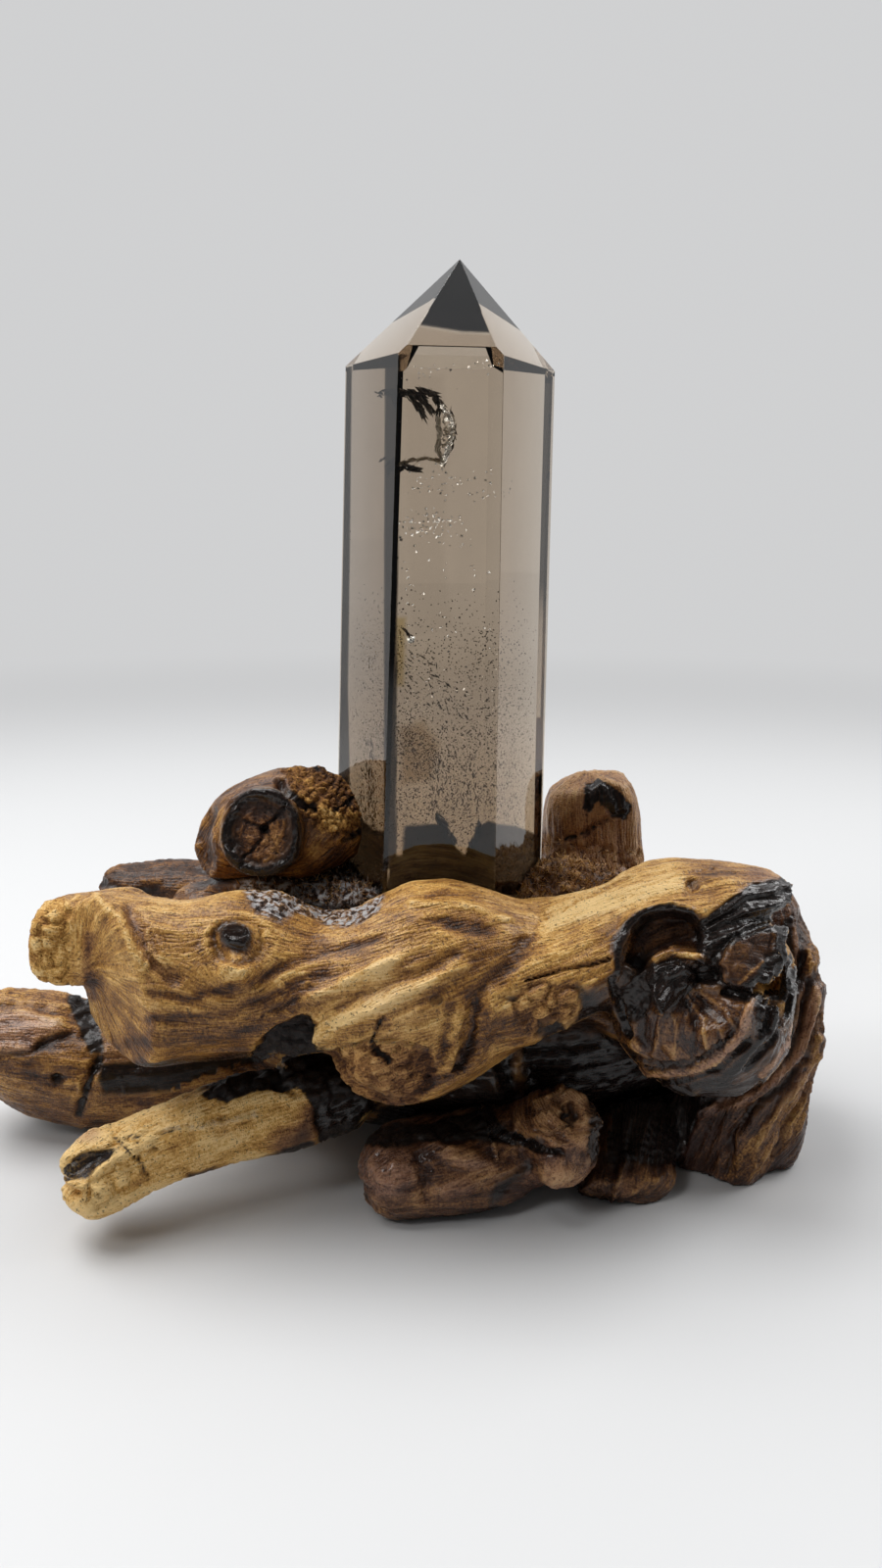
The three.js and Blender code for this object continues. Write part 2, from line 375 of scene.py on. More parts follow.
def spot(at, half, turn=0, edge=0.5, **finish):
    # an ellipse with its half sizes, turned by some degrees
    return {"at": at, "half": half, "turn": turn, "edge": edge, **finish}


def ring(at, half, wide, **finish):
    # round an ellipse, wide as a share of its size
    return {"ring": at, "half": half, "wide": wide, **finish}


def lineDistance(u, v, line):
    nearest = np.full(len(u), farOff)
    for (u0, v0), (u1, v1) in zip(line[:-1], line[1:]):
        du, dv = u1 - u0, v1 - v0
        along = np.clip(((u - u0) * du + (v - v0) * dv) / (du * du + dv * dv + small), 0, 1)
        nearest = np.minimum(nearest, np.hypot(u - u0 - along * du, v - v0 - along * dv))
    return nearest


def insideArea(u, v, corners, soft):
    # 1 inside a closed outline of photo pixels, fading over soft pixels at its edge
    inside = np.zeros(len(u), bool)
    closed = corners + corners[:1]
    for (u0, v0), (u1, v1) in zip(closed[:-1], closed[1:]):
        crosses = (v0 > v) != (v1 > v)
        inside ^= crosses & (u < (u1 - u0) * (v - v0) / (v1 - v0 + small) + u0)
    signed = np.where(inside, 1, -1) * lineDistance(u, v, closed)
    return fadeBetween(signed, -soft / 2, soft / 2)


def maskOf(mark, u, v):
    # how strongly a mark holds at each place, from 0 to 1
    if "area" in mark:
        return insideArea(u, v, mark["area"], mark["soft"])
    if "line" in mark:
        return fadeBetween(lineDistance(u, v, mark["line"]), mark["half"], 0)
    if "ring" in mark:
        away = np.hypot((u - mark["ring"][0]) / mark["half"][0], (v - mark["ring"][1]) / mark["half"][1])
        return fadeBetween(np.abs(away - 1), mark["wide"], 0)
    turn = math.radians(mark["turn"])
    du, dv = u - mark["at"][0], v - mark["at"][1]
    across = (du * math.cos(turn) + dv * math.sin(turn)) / mark["half"][0]
    down = (-du * math.sin(turn) + dv * math.cos(turn)) / mark["half"][1]
    return fadeBetween(np.hypot(across, down), 1 + mark["edge"] / 2, 1 - mark["edge"])


sightGrid = {
    "cell": 5.0,  # photo pixels
    "width": 1.6,  # as a share of the photo's width
    "left": 40,  # cells before the photo's left edge
    "rows": 402,
    "hidden": (16, 9),  # mm behind the nearest skin, from hidden to seen
    "facing": (5, 0.6),  # how quickly a skin fades out as it turns away, and where
}


def seenByCamera(points, normals):
    # 1 where nothing of the same piece stands in front, fading out as the skin turns away
    spec = sightGrid
    u, v, depth = photoPlace(points)
    columns = int(photoCamera["width"] * spec["width"] / spec["cell"])
    cu = np.clip((u / spec["cell"]).astype(int) + spec["left"], 1, columns - 2)
    cv = np.clip((v / spec["cell"]).astype(int), 1, spec["rows"] - 2)
    nearest = np.full((spec["rows"], columns), farOff)
    np.minimum.at(nearest, (cv, cu), depth)
    wide = nearest.copy()
    for shift in product((-1, 0, 1), repeat=2):
        wide = np.minimum(wide, np.roll(nearest, shift, (0, 1)))
    toCamera = unitRows(np.array(photoCamera["place"]) - points, 0)
    steep, level = spec["facing"]
    facing = np.clip((normals * toCamera).sum(1) * steep + level, 0, 1)
    return u, v, facing * fadeBetween(depth - wide[cv, cu], *spec["hidden"]), -toCamera


# Grain

grainShape = {
    "limbReach": 500.0,  # square mm over which a limb's own direction holds
    "fanDepth": (6, 3),  # mm off a sawn face
    "fanEdge": 0.8,
}


def grainField(points, spec):
    # the direction in which the wood grew: along the limbs, round the knots, and out from a sawn heart
    total = np.zeros_like(points)
    for route in spec["routes"]:
        for start, end in zip(route[:-1], route[1:]):
            start, end = np.array(start, float), np.array(end, float)
            run = end - start
            along = np.clip((points - start) @ run / (run @ run), 0, 1)
            away = ((points - start - along[:, None] * run) ** 2).sum(1)
            heading = run / np.linalg.norm(run)
            if heading @ np.array(spec.get("reference", (1, 0, 0))) < 0:
                heading = -heading
            total += np.exp(-away / grainShape["limbReach"])[:, None] * heading + small * heading
    total = unitRows(total)
    for centre, axis, radius in spec.get("swirls", []):
        away = points - np.array(centre, float)
        around = unitRows(np.cross(np.array(axis, float), away), small)
        around *= np.where((around * total).sum(1) < 0, -1, 1)[:, None]
        share = np.exp(-((np.linalg.norm(away, axis=1) / radius) ** 2))[:, None]
        total = unitRows(total * (1 - share) + around * share)
    for centre, normal, reach in spec.get("fans", []):
        away = points - np.array(centre, float)
        far = np.linalg.norm(away, axis=1)
        share = fadeBetween(np.abs(away @ np.array(normal)), *grainShape["fanDepth"])
        share *= fadeBetween(far, reach, reach * grainShape["fanEdge"])
        total = total * (1 - share[:, None]) + away / (far[:, None] + small) * share[:, None]
    return total


# Carving

# char darkens toward black: real char, and also painted shade in hollows, on undersides, in crevices and in
# shaded marks
finishNames = ("tone", "char", "purple", "rough", "ash", "wet")
woodNodes = [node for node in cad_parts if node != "quartz_tower"]

growth = {
    "swell": 0.35,  # mm that each limb is swollen before they melt together
    "coarse": 1.1,  # mm, the smallest voxel of the first skin
    "melt": 9,  # rounds of smoothing, unless a piece says otherwise
    "meltStep": 0.5,
    "lastMelt": 3,
    "sawnReach": 1.2,  # how far a crisp face reaches, as a share of its own reach
    "sawnDepth": (3.0, 1.0),  # mm off a sawn face
    "crisp": 0.85,
    "broadLine": 7,  # pixels: wider marks shape the first skin, finer ones the second
    "wander": (3.0, 6),  # pixels that a mark's edge wanders, over so many mm
    "limbBlend": (9.0, 0.05, 0.75),  # mm of reach, and where the blend begins and is whole
}

skinShape = {
    "quick": 1.5,  # how much coarser a quick export is
    "coarse": (5.0, 17, 11),  # streaks: width and reach in mm, and seed
    "middle": (2.1, 10, 12),
    "thin": (1.0, 5, 13),
    "crumb": 5.0,  # mm across a crumb, unless a piece says otherwise
    "crumbWarp": (0.4, 0.8, 15),  # how far and how finely crumbs are warped, as shares of their size
    "grit": (1.9, 0.6, 0.55),  # mm at most, share of the crumb, height
    "bumps": (0.5, 6),
    "cleft": (1.2, 0.3),  # height and width
    "roughest": 1.8,
    "charredRelief": 0.8,
    "roughCalm": 0.4,
    # painted light and shade from the skin's shape: shade in hollows, light on ridges, shade near other
    # pieces and on undersides
    "hollowRounds": 24,
    "hollowRange": (-0.7, 1.6),
    "hollowShadeAndRidgeLight": 0.24,
    "hollowShade": (0.55, 0.45, 0.6),  # strength, start in mm, most
    "creviceReach": 7.0,
    "creviceShadeStrength": (0.9, 1.5),  # strength and power
    "undersideShade": (0.35, 0.95),
    "toneCloud": (0.13, 26),  # strength and size in mm
    "coarseTone": 0.08,
    "scorchCloud": (17, 40, 0.25, 0.7),  # size and shift in mm, start and full
    "purpleCloud": (21, -70, 0.1, 0.6),
    "grain": (0.25, 0.3, 0.1),  # weights of the three streaks in the colour
}


def isBroad(mark):
    return "line" not in mark or mark["half"] >= growth["broadLine"]


def wavering(points, u, v):
    # marks drawn with short straight runs get a natural, slightly wandering edge
    by, size = growth["wander"]
    return u + by * layeredNoise(points, size, seed=31), v + by * layeredNoise(points, size, seed=32)


def pressed(points, quads, marks):
    # moves the skin where marks push it away from the viewer or lift it along its own normal
    normals = quadNormals(points, quads)
    u, v, seen, sight = seenByCamera(points, normals)
    u, v = wavering(points, u, v)
    move = np.zeros_like(points)
    for mark in marks:
        if "push" in mark or "lift" in mark:
            mask = (maskOf(mark, u, v) * seen)[:, None]
            move += mask * (sight * mark.get("push", 0) + normals * mark.get("lift", 0))
    return points + move


def nearness(points, nodes, reach):
    # 1 on the surface of the given CAD nodes, falling to 0 at reach mm from them
    solid, triangles = joinedSolids([weldedSolid(node) for node in nodes])
    tree = BVHTree.FromPolygons(solid.tolist(), triangles.tolist())
    result = np.zeros(len(points))
    for k, p in enumerate(points.tolist()):
        hit = tree.find_nearest(p, reach)
        if hit[0] is not None:
            result[k] = 1 - hit[3] / reach
    return result


def startingFinish(points, spec):
    # each limb's own finish, blended where limbs of one piece meet
    finish = {key: np.full(len(points), spec["finish"].get(key, 0.0)) for key in finishNames}
    reach, start, whole = growth["limbBlend"]
    for nodes, own in spec.get("limbFinish", []):
        share = fadeBetween(nearness(points, nodes, reach), start, whole)
        for key in own:
            finish[key] += share * (own[key] - spec["finish"].get(key, 0.0))
    return finish


def grownShape(spec, fine):
    # the limbs of a piece melted into one skin, with its broad features pressed in
    solids = [swollenSolid(node, growth["swell"]) for node in spec["nodes"]]
    solids += [blobSolid(*lump) for lump in spec.get("lumps", [])]
    points, quads, edges = voxelSkin(*joinedSolids(solids), max(growth["coarse"], fine))
    crisp = np.zeros(len(points))
    for centre, normal, reach in spec.get("sawn", []):
        away = points - np.array(centre)
        offset = np.abs(away @ (np.array(normal) / np.linalg.norm(normal)))
        near = fadeBetween(np.linalg.norm(away, axis=1), reach * growth["sawnReach"], reach)
        crisp = np.maximum(crisp, near * fadeBetween(offset, *growth["sawnDepth"]))
    step = growth["meltStep"] * (1 - growth["crisp"] * crisp)
    points = relaxed(points, edges, spec.get("melt", growth["melt"]), step)
    marks = list(spec["marks"].values())
    points = pressed(points, quads, [mark for mark in marks if isBroad(mark)])
    points, quads, edges = voxelSkin(points, quads, fine)
    points = relaxed(points, edges, growth["lastMelt"])
    points = pressed(points, quads, [mark for mark in marks if not isBroad(mark)])
    return points, quads, edges


def crumbled(points, crumb):
    # broken ground: crumbs with clefts between them, grit on them, and low bumps
    skin = skinShape
    by, size, seed = skin["crumbWarp"]
    warp = by * crumb * layeredNoise(points, size * crumb, seed)
    _, clefts = cellNoise(points + warp[:, None], crumb, seed=14)
    most, share, gritHeight = skin["grit"]
    grit, _ = cellNoise(points, min(most, share * crumb), seed=16)
    height, width = skin["cleft"]
    bump, bumpSize = skin["bumps"]
    ground = height * fadeBetween(clefts, 0, width) - 1.0 + gritHeight * (0.5 - grit)
    return ground + bump * layeredNoise(points, bumpSize, seed=21)


def weathered(finish, points, normals, edges, spec, coarse):
    # painted shade in hollows, on undersides and where other pieces come close, painted light on ridges, and
    # random tone and clouds of scorch and purple, beyond what the marks say
    skin = skinShape
    depth = ((relaxed(points, edges, skin["hollowRounds"]) - points) * normals).sum(1)
    hollow = neighbourSum(depth, edges) / np.bincount(edges.ravel(), minlength=len(points))
    others = [node for node in woodNodes if node not in spec["nodes"]]
    close = nearness(points, others, spec.get("creviceReach", skin["creviceReach"]))
    shadeBelow = fadeBetween(-normals[:, 2], *skin["undersideShade"]) * spec["undersideShade"]
    strength, size = skin["toneCloud"]
    bounded = np.clip(hollow, *skin["hollowRange"])
    tone = strength * layeredNoise(points, size, seed=17) - skin["hollowShadeAndRidgeLight"] * bounded
    finish["tone"] += tone + skin["coarseTone"] * coarse
    dark, start, most = skin["hollowShade"]
    creviceShade, power = skin["creviceShadeStrength"]
    finish["char"] += np.clip(dark * (hollow - start), 0, most) + creviceShade * close**power + shadeBelow
    clouds = (("char", "scorch", "scorchCloud", 18), ("purple", "purpleNoise", "purpleCloud", 19))
    for key, strength, cloud, seed in clouds:
        size, shift, start, full = skin[cloud]
        finish[key] += spec[strength] * fadeBetween(layeredNoise(points + shift, size, seed), start, full)


def carveWood(name, spec):
    skin = skinShape
    fine = spec["fine"] * 1.0
    points, quads, edges = grownShape(spec, fine)

    normals = quadNormals(points, quads)
    grain = grainField(points, spec)
    grain = unitRows(grain - normals * (grain * normals).sum(1, keepdims=True), small)
    finish = startingFinish(points, spec)
    u, v, seen, _ = seenByCamera(points, normals)
    u, v = wavering(points, u, v)
    for mark in spec["marks"].values():
        mask = maskOf(mark, u, v) * seen
        for key in finishNames:
            if key in mark:
                finish[key] += mask * mark[key]

    coarse, middle, thin = (drawnNoise(points, grain, *skin[key]) for key in ("coarse", "middle", "thin"))
    rough = np.clip(finish["rough"], 0, skin["roughest"])
    calm = 1 + skin["charredRelief"] * np.clip(finish["char"], 0, 1)
    calm *= 1 - skin["roughCalm"] * np.clip(rough, 0, 1)
    relief = spec["relief"]
    lift = calm * (relief[0] * coarse - relief[1] * np.abs(middle) + relief[2] * thin)
    lift += rough * crumbled(points, spec.get("crumb", skin["crumb"]))
    points = points + normals * lift[:, None]
    weathered(finish, points, normals, edges, spec, coarse)

    points = np.clip(points, boxLow, boxHigh)
    attributes = {key: np.clip(values, 0, 1) for key, values in finish.items()}
    weights = skin["grain"]
    grainLight = 0.5 + weights[0] * middle + weights[1] * thin + weights[2] * coarse
    attributes["grain"] = np.clip(grainLight, 0, 1)
    attributes["grainWay"] = grain
    piece = addPiece(name, points, quads, attributes)
    piece.data.materials.append(varnishedRoot)
    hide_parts(*spec["nodes"])
    print(f"{name}: {2 * len(quads)} triangles")
    return points, quads, attributes


# Materials

class Graph:
    # the nodes of a material or a world, with short calls for those that come up again and again
    def __init__(self, owner, output="ShaderNodeOutputMaterial"):
        self.owner = owner
        owner.use_nodes = True
        self.nodes, self.links = owner.node_tree.nodes, owner.node_tree.links
        self.nodes.clear()
        self.output = self.add(output)

    def add(self, kind, *inputs, **settings):
        # a node with its settings, fed in the order of its sockets
        node = self.nodes.new(kind)
        for key, value in settings.items():
            setattr(node, key, value)
        for socket, value in zip(node.inputs, inputs):
            self.feed(value, socket)
        return node

    def feed(self, value, socket):
        if hasattr(value, "is_linked"):
            self.links.new(value, socket)
        elif value is not None:
            socket.default_value = value

    def feedAll(self, node, inputs):
        for key, value in inputs.items():
            self.feed(value, node.inputs[key])
        return node

    def principled(self, inputs):
        return self.feedAll(self.add("ShaderNodeBsdfPrincipled"), inputs).outputs[0]

    def surface(self, shader):
        self.feed(shader, self.output.inputs["Surface"])

    def attribute(self, name, output="Fac"):
        return self.add("ShaderNodeAttribute", attribute_name=name).outputs[output]

    def place(self, output="Object"):
        return self.add("ShaderNodeTexCoord").outputs[output]

    def math(self, operation, *values, clamp=False):
        return self.add("ShaderNodeMath", *values, operation=operation, use_clamp=clamp).outputs[0]

    def weighted(self, base, sources, weights, clamp=False):
        # a base value plus so much of each source
        for source, weight in zip(sources, weights):
            isLast = source is sources[-1]
            base = self.math("MULTIPLY_ADD", source, weight, base, clamp=clamp and isLast)
        return base

    def blend(self, share, first, second):
        node = self.add("ShaderNodeMix", data_type="RGBA")
        return self.feedAll(node, {0: share, 6: first, 7: second}).outputs[2]

    def range(self, value, low, high):
        node = self.add("ShaderNodeMapRange", value, low, high, interpolation_type="SMOOTHSTEP")
        return node.outputs[0]

    def ramp(self, value, stops):
        node = self.add("ShaderNodeValToRGB", value)
        elements = node.color_ramp.elements
        while len(elements) < len(stops):
            elements.new(0.5)
        for element, (place, colour) in zip(elements, stops):
            element.position = place
            element.color = (*colour, 1)
        return node.outputs[0]

    def noise(self, place, size, detail=2.0):
        node = self.add("ShaderNodeTexNoise")
        inputs = {"Scale": 1 / (size * mm), "Detail": detail, "Vector": place}
        return self.feedAll(node, inputs).outputs["Fac"]

    def drawn(self, place, way, size, reach, steps):
        # fine noise averaged along the grain, which leaves thin streaks, and stretched about its middle
        total, stretch = None, 4.0
        for step in np.linspace(-reach, reach, steps):
            shift = self.add("ShaderNodeVectorMath", way, [step * mm] * 3, place, operation="MULTIPLY_ADD")
            sample = self.noise(shift.outputs[0], size, detail=0.0)
            total = sample if total is None else self.math("ADD", total, sample)
        return self.math("MULTIPLY_ADD", total, stretch / steps, 0.5 * (1 - stretch))


def newGraph(name):
    return Graph(bpy.data.materials.new(name))


# Varnished root

rootFinish = {
    "wood": [
        (0.0, (0.014, 0.0055, 0.0025)),
        (0.22, (0.062, 0.023, 0.008)),
        (0.42, (0.190, 0.078, 0.018)),
        (0.60, (0.400, 0.195, 0.045)),
        (0.80, (0.660, 0.375, 0.105)),
        (1.0, (0.860, 0.590, 0.255)),
    ],
    "purple": (0.050, 0.018, 0.012, 1),
    "pink": (0.360, 0.185, 0.130, 1),
    "purpleShare": 0.8,
    "pinkRange": (0.15, 0.85),
    # charred is the near-black of char, and also of painted shade: in hollows, crevices, undersides, shaded
    # marks and ash gaps
    "charred": (0.0130, 0.0098, 0.0086, 1),
    "coalStreak": (0.030, 0.017, 0.013, 1),
    "coalRange": (0.4, 0.9),
    "charredRange": (0.55, 1.25),
    "charredNoise": (0.3, 0.6),  # how much streak and speckle break the edge of the char and the painted shade
    "pore": (0.030, 0.015, 0.009, 1),
    "poreShare": 0.6,
    "poreRange": (0.37, 0.29),
    "ash": (0.46, 0.45, 0.45, 1),
    "ashRange": (0.44, 0.62),
    "ashGapShade": (0.50, 0.40),
    "ashGapShadeShare": 0.85,
    "streak": (0.55, 1.4, 6),  # size and reach in mm, steps
    "speckleSize": 0.7,
    "cloudSize": 7.0,
    "poreSize": 0.75,
    "crumbSize": 1.7,
    "levelWeights": (0.27, 0.30, 0.62, 0.60),  # grain, streak, speckle and cloud
    "levelOffset": 0.13 + 0.15 + 0.31 + 0.29,  # about half of each weight, so that the mean stays at tone
    "roughness": 0.38,
    "roughnessWeights": (0.35, -0.34, -0.2),  # rough, wet, and the mask of char and painted shade
    "speckleRoughness": 0.16,
    "ior": 1.5,
    "specular": 0.28,
    "coat": 0.55,
    "coatRoughness": 0.08,
    "charredCoat": -0.5,
    "bumpStrength": 0.85,
    "bumpDepth": 0.45,  # mm
    "bumpWeights": (0.7, 0.6, 0.6, -0.5),  # streak, grain, speckle and pores
    "charredBump": -0.7,
}


def buildVarnishedRoot():
    spec = rootFinish
    graph = newGraph("varnishedRoot")
    work, span = graph.math, graph.range
    place = graph.place()
    way = graph.attribute("grainWay", "Vector")
    grain, tone, char, purple, rough, ash, wet = (
        graph.attribute(key) for key in ("grain", "tone", "char", "purple", "rough", "ash", "wet"))
    streak = graph.drawn(place, way, *spec["streak"])
    speckle = graph.noise(place, spec["speckleSize"], detail=3.0)
    cloud = graph.noise(place, spec["cloudSize"], detail=3.0)
    crumbs = graph.noise(place, spec["crumbSize"], detail=4.0)
    pores = span(graph.noise(place, spec["poreSize"], detail=1.0), *spec["poreRange"])

    level = graph.weighted(tone, (grain, streak, speckle, cloud), spec["levelWeights"])
    level = work("SUBTRACT", level, spec["levelOffset"], clamp=True)
    plum = graph.blend(span(level, *spec["pinkRange"]), spec["purple"], spec["pink"])
    colour = graph.blend(work("MULTIPLY", purple, spec["purpleShare"]), graph.ramp(level, spec["wood"]), plum)
    colour = graph.blend(work("MULTIPLY", pores, spec["poreShare"]), colour, spec["pore"])
    # painted shade: the gaps between ash crumbs are darkened to near-black
    gapShade = work("MULTIPLY", ash, spec["ashGapShadeShare"], clamp=True)
    colour = graph.blend(work("MULTIPLY", span(crumbs, *spec["ashGapShade"]), gapShade), colour, spec["charred"])
    ashen = work("MULTIPLY", ash, span(crumbs, *spec["ashRange"]), clamp=True)
    colour = graph.blend(ashen, colour, spec["ash"])
    # the mask of char and painted shade
    charred = span(graph.weighted(char, (streak, speckle), spec["charredNoise"]), *spec["charredRange"])
    coal = graph.blend(span(streak, *spec["coalRange"]), spec["charred"], spec["coalStreak"])

    shine = graph.weighted(spec["roughness"], (rough, wet, charred), spec["roughnessWeights"], clamp=True)
    coated = work("MULTIPLY_ADD", charred, spec["charredCoat"], 1.0)
    height = graph.weighted(0.0, (streak, grain, speckle, pores), spec["bumpWeights"])
    bump = graph.feedAll(graph.add("ShaderNodeBump"), {
        "Strength": spec["bumpStrength"],
        "Distance": spec["bumpDepth"] * mm,
        "Height": work("MULTIPLY", height, work("MULTIPLY_ADD", charred, spec["charredBump"], 1.0)),
    })
    graph.surface(graph.principled({
        "Base Color": graph.blend(charred, colour, coal),
        "Roughness": work("MULTIPLY_ADD", speckle, spec["speckleRoughness"], shine, clamp=True),
        "IOR": spec["ior"],
        "Specular IOR Level": spec["specular"],
        "Coat Roughness": spec["coatRoughness"],
        "Coat Weight": work("MULTIPLY", work("MULTIPLY", wet, spec["coat"]), coated, clamp=True),
        "Normal": bump.outputs[0],
    }))
    return graph.owner


varnishedRoot = buildVarnishedRoot()


# The golden limb across the front, with the hollow burl at its right end

burlMarks = {
    "burlGround": patch(9, (596, 1020), (606, 1004), (626, 990), (622, 960), (646, 933), (672, 922),
        (706, 929), (722, 938), (750, 916), (770, 900), (808, 894), (818, 930), (808, 1000), (792, 1050),
        (770, 1088), (735, 1108), (690, 1116), (650, 1108), (622, 1092), (600, 1078), (610, 1056),
        (592, 1040), tone=-0.36, char=0.36, wet=0.5),
    "archHollow": patch(6, (640, 984), (646, 956), (660, 938), (682, 931), (704, 936), (716, 952),
        (716, 968), (690, 966), (668, 976), (655, 990), push=9.0, rough=0.2, purple=0.5, tone=0.06,
        char=-0.2),
    # painted shade under the hollow's roof
    "archRoofShade": stroke(8, (650, 950), (664, 936), (686, 929), (708, 938), char=0.6),
    "archRim": stroke(7, (630, 992), (632, 964), (642, 943), (660, 928), (688, 922), (706, 930), lift=1.8,
        char=0.75, wet=0.9),
    "archShelf": stroke(5, (670, 980), (688, 972), (716, 976), lift=1.4, tone=0.42, char=-0.7),
    "crumbs": patch(8, (640, 975), (665, 975), (668, 1005), (658, 1040), (640, 1045), (632, 1010),
        rough=0.8, char=0.3),
    "noseLump": patch(5, (661, 1002), (666, 984), (690, 980), (710, 990), (708, 1004), (692, 1020),
        (675, 1036), (666, 1020), lift=4.0, char=1.1, wet=0.8),
    # grey ash along the nose's crest, a painted highlight on the raised crest
    "noseHighlight": stroke(4, (670, 990), (688, 986), (706, 994), lift=1.0, ash=0.3),
    "noseSide": stroke(3, (682, 992), (684, 1012), (675, 1034), lift=1.2, char=0.4),
    "burlGap": spot((722, 990), (16, 14), push=4.0, char=0.8),
    "blackTop": patch(6, (708, 948), (735, 925), (756, 912), (772, 900), (808, 896), (812, 940), (790, 948),
        (755, 958), (728, 975), (712, 970), char=0.75, wet=0.7, push=1.5),
    "ribUpper": stroke(4, (722, 940), (760, 918), (806, 903), lift=1.2, wet=0.4),
    # the ash on the middle and lower ribs is a painted silver highlight on the glossy black
    "ribMiddle": stroke(4, (718, 952), (758, 932), (806, 918), lift=1.2, wet=0.4, ash=0.25),
    "ribLower": stroke(4, (720, 966), (760, 946), (800, 936), lift=1.1, purple=0.6, ash=0.3),
    "ribShort": stroke(4, (712, 975), (728, 982), lift=1.0, purple=0.5, char=-0.4),
    "chunkHollow": spot((762, 988), (38, 33), push=6.0, char=0.5),
    "woodChunk": patch(5, (731, 985), (748, 962), (778, 950), (792, 954), (790, 976), (776, 995),
        (757, 1010), (741, 1003), lift=5.0, char=-0.55, tone=-0.06, purple=0.25, rough=0.55, wet=-0.3),
    "chunkEdge": stroke(3.5, (756, 1004), (767, 992), (780, 982), tone=0.45, char=-0.3),
    "chunkShade": stroke(7, (740, 1013), (762, 1020), (782, 1000), (792, 975), push=3.0, char=0.9),
    "bowl": patch(12, (648, 1040), (672, 1036), (700, 1012), (735, 1003), (757, 1020), (768, 1040),
        (752, 1070), (720, 1088), (680, 1090), (640, 1075), char=-0.16, purple=0.3),
    "bowlFibreA": ridge(3.2, 0.7, 0.26, (698, 1012), (716, 1040), (722, 1074)),
    "bowlFibreB": ridge(3.0, 0.6, 0.22, (684, 1034), (690, 1052), (686, 1078)),
    "bowlFibreC": ridge(3.2, 0.7, 0.24, (706, 1008), (738, 1028), (752, 1052)),
    "bowlFibreD": ridge(3.0, 0.6, 0.18, (702, 1010), (728, 1036), (740, 1064)),
    "bowlFibreE": ridge(3.0, 0.6, 0.16, (672, 1040), (672, 1056), (664, 1076)),
    "bowlFurrowA": crack(3.0, 0.9, 0.3, (700, 1020), (708, 1046), (706, 1078)),
    "bowlFurrowB": crack(2.6, 0.8, 0.25, (712, 1016), (734, 1046), (734, 1072)),
    "bowlShade": stroke(9, (650, 1020), (656, 1045), (655, 1068), tone=-0.1, char=0.3, lift=-1.2),
    "bowlKnob": spot((645, 1066), (13, 7), turn=30, lift=1.2, tone=0.25, char=-0.3),
    "bowlGroove": crack(4, 1.0, 0.25, (646, 1080), (680, 1086), (715, 1079), (745, 1058)),
    "bowlLip": stroke(7, (640, 1088), (664, 1098), (705, 1096), (738, 1078), (760, 1050), (768, 1028),
        lift=1.2, tone=0.30, char=-0.55, purple=0.8, wet=0.2),
    "lipGroove": crack(2.5, 0.9, 0.35, (660, 1090), (700, 1088), (734, 1070), (754, 1044)),
    # a raised ridge, painted paler as a grey highlight
    "greyRidgeHighlight": stroke(6, (757, 1046), (770, 1020), (784, 998), (792, 975), lift=1.2, tone=0.3, char=-0.45,
        purple=0.7),
    "lowerGroove": crack(4, 1.6, 0.6, (640, 1102), (690, 1106), (735, 1090), (764, 1062)),
    "lowerRim": stroke(8, (628, 1092), (655, 1112), (695, 1115), (740, 1104), (772, 1072), (790, 1030),
        lift=1.0, char=0.7, wet=0.6),
    "channel": stroke(9, (800, 938), (797, 980), (786, 1012), (778, 1050), push=3.5, char=0.8, wet=0.4),
    # ash along the channel's rim, a painted silver highlight on a raised line
    "channelRimHighlight": stroke(2.5, (791, 950), (792, 985), (784, 1012), (773, 1050), lift=1.2, ash=0.6),
    "leftShoulder": stroke(12, (600, 1015), (612, 1035), (622, 1065), (636, 1090), char=0.3, purple=0.6,
        tone=0.05),
    "burlFlank": patch(8, (806, 934), (830, 940), (848, 1000), (842, 1070), (800, 1125), (740, 1138),
        (700, 1125), (760, 1090), (795, 1030), char=0.45, tone=-0.3, purple=0.5, wet=0.4),
    # a raised ridge, painted paler as a highlight
    "flankHighlightRidge": stroke(6, (828, 960), (824, 1010), (808, 1060), (778, 1100), lift=1.4, tone=0.4,
        char=-0.5, purple=0.5),
    "flankFurrow": crack(4, 1.2, 0.4, (812, 960), (808, 1010), (792, 1056), (764, 1092)),
    # painted shade: a black spot deep in the channel beside the lobe
    "flankShade": spot((797, 1006), (24, 32), char=1.8),
    "shoulderCleft": crack(5, 2.0, 0.5, (625, 1000), (632, 1030), (640, 1055)),
}

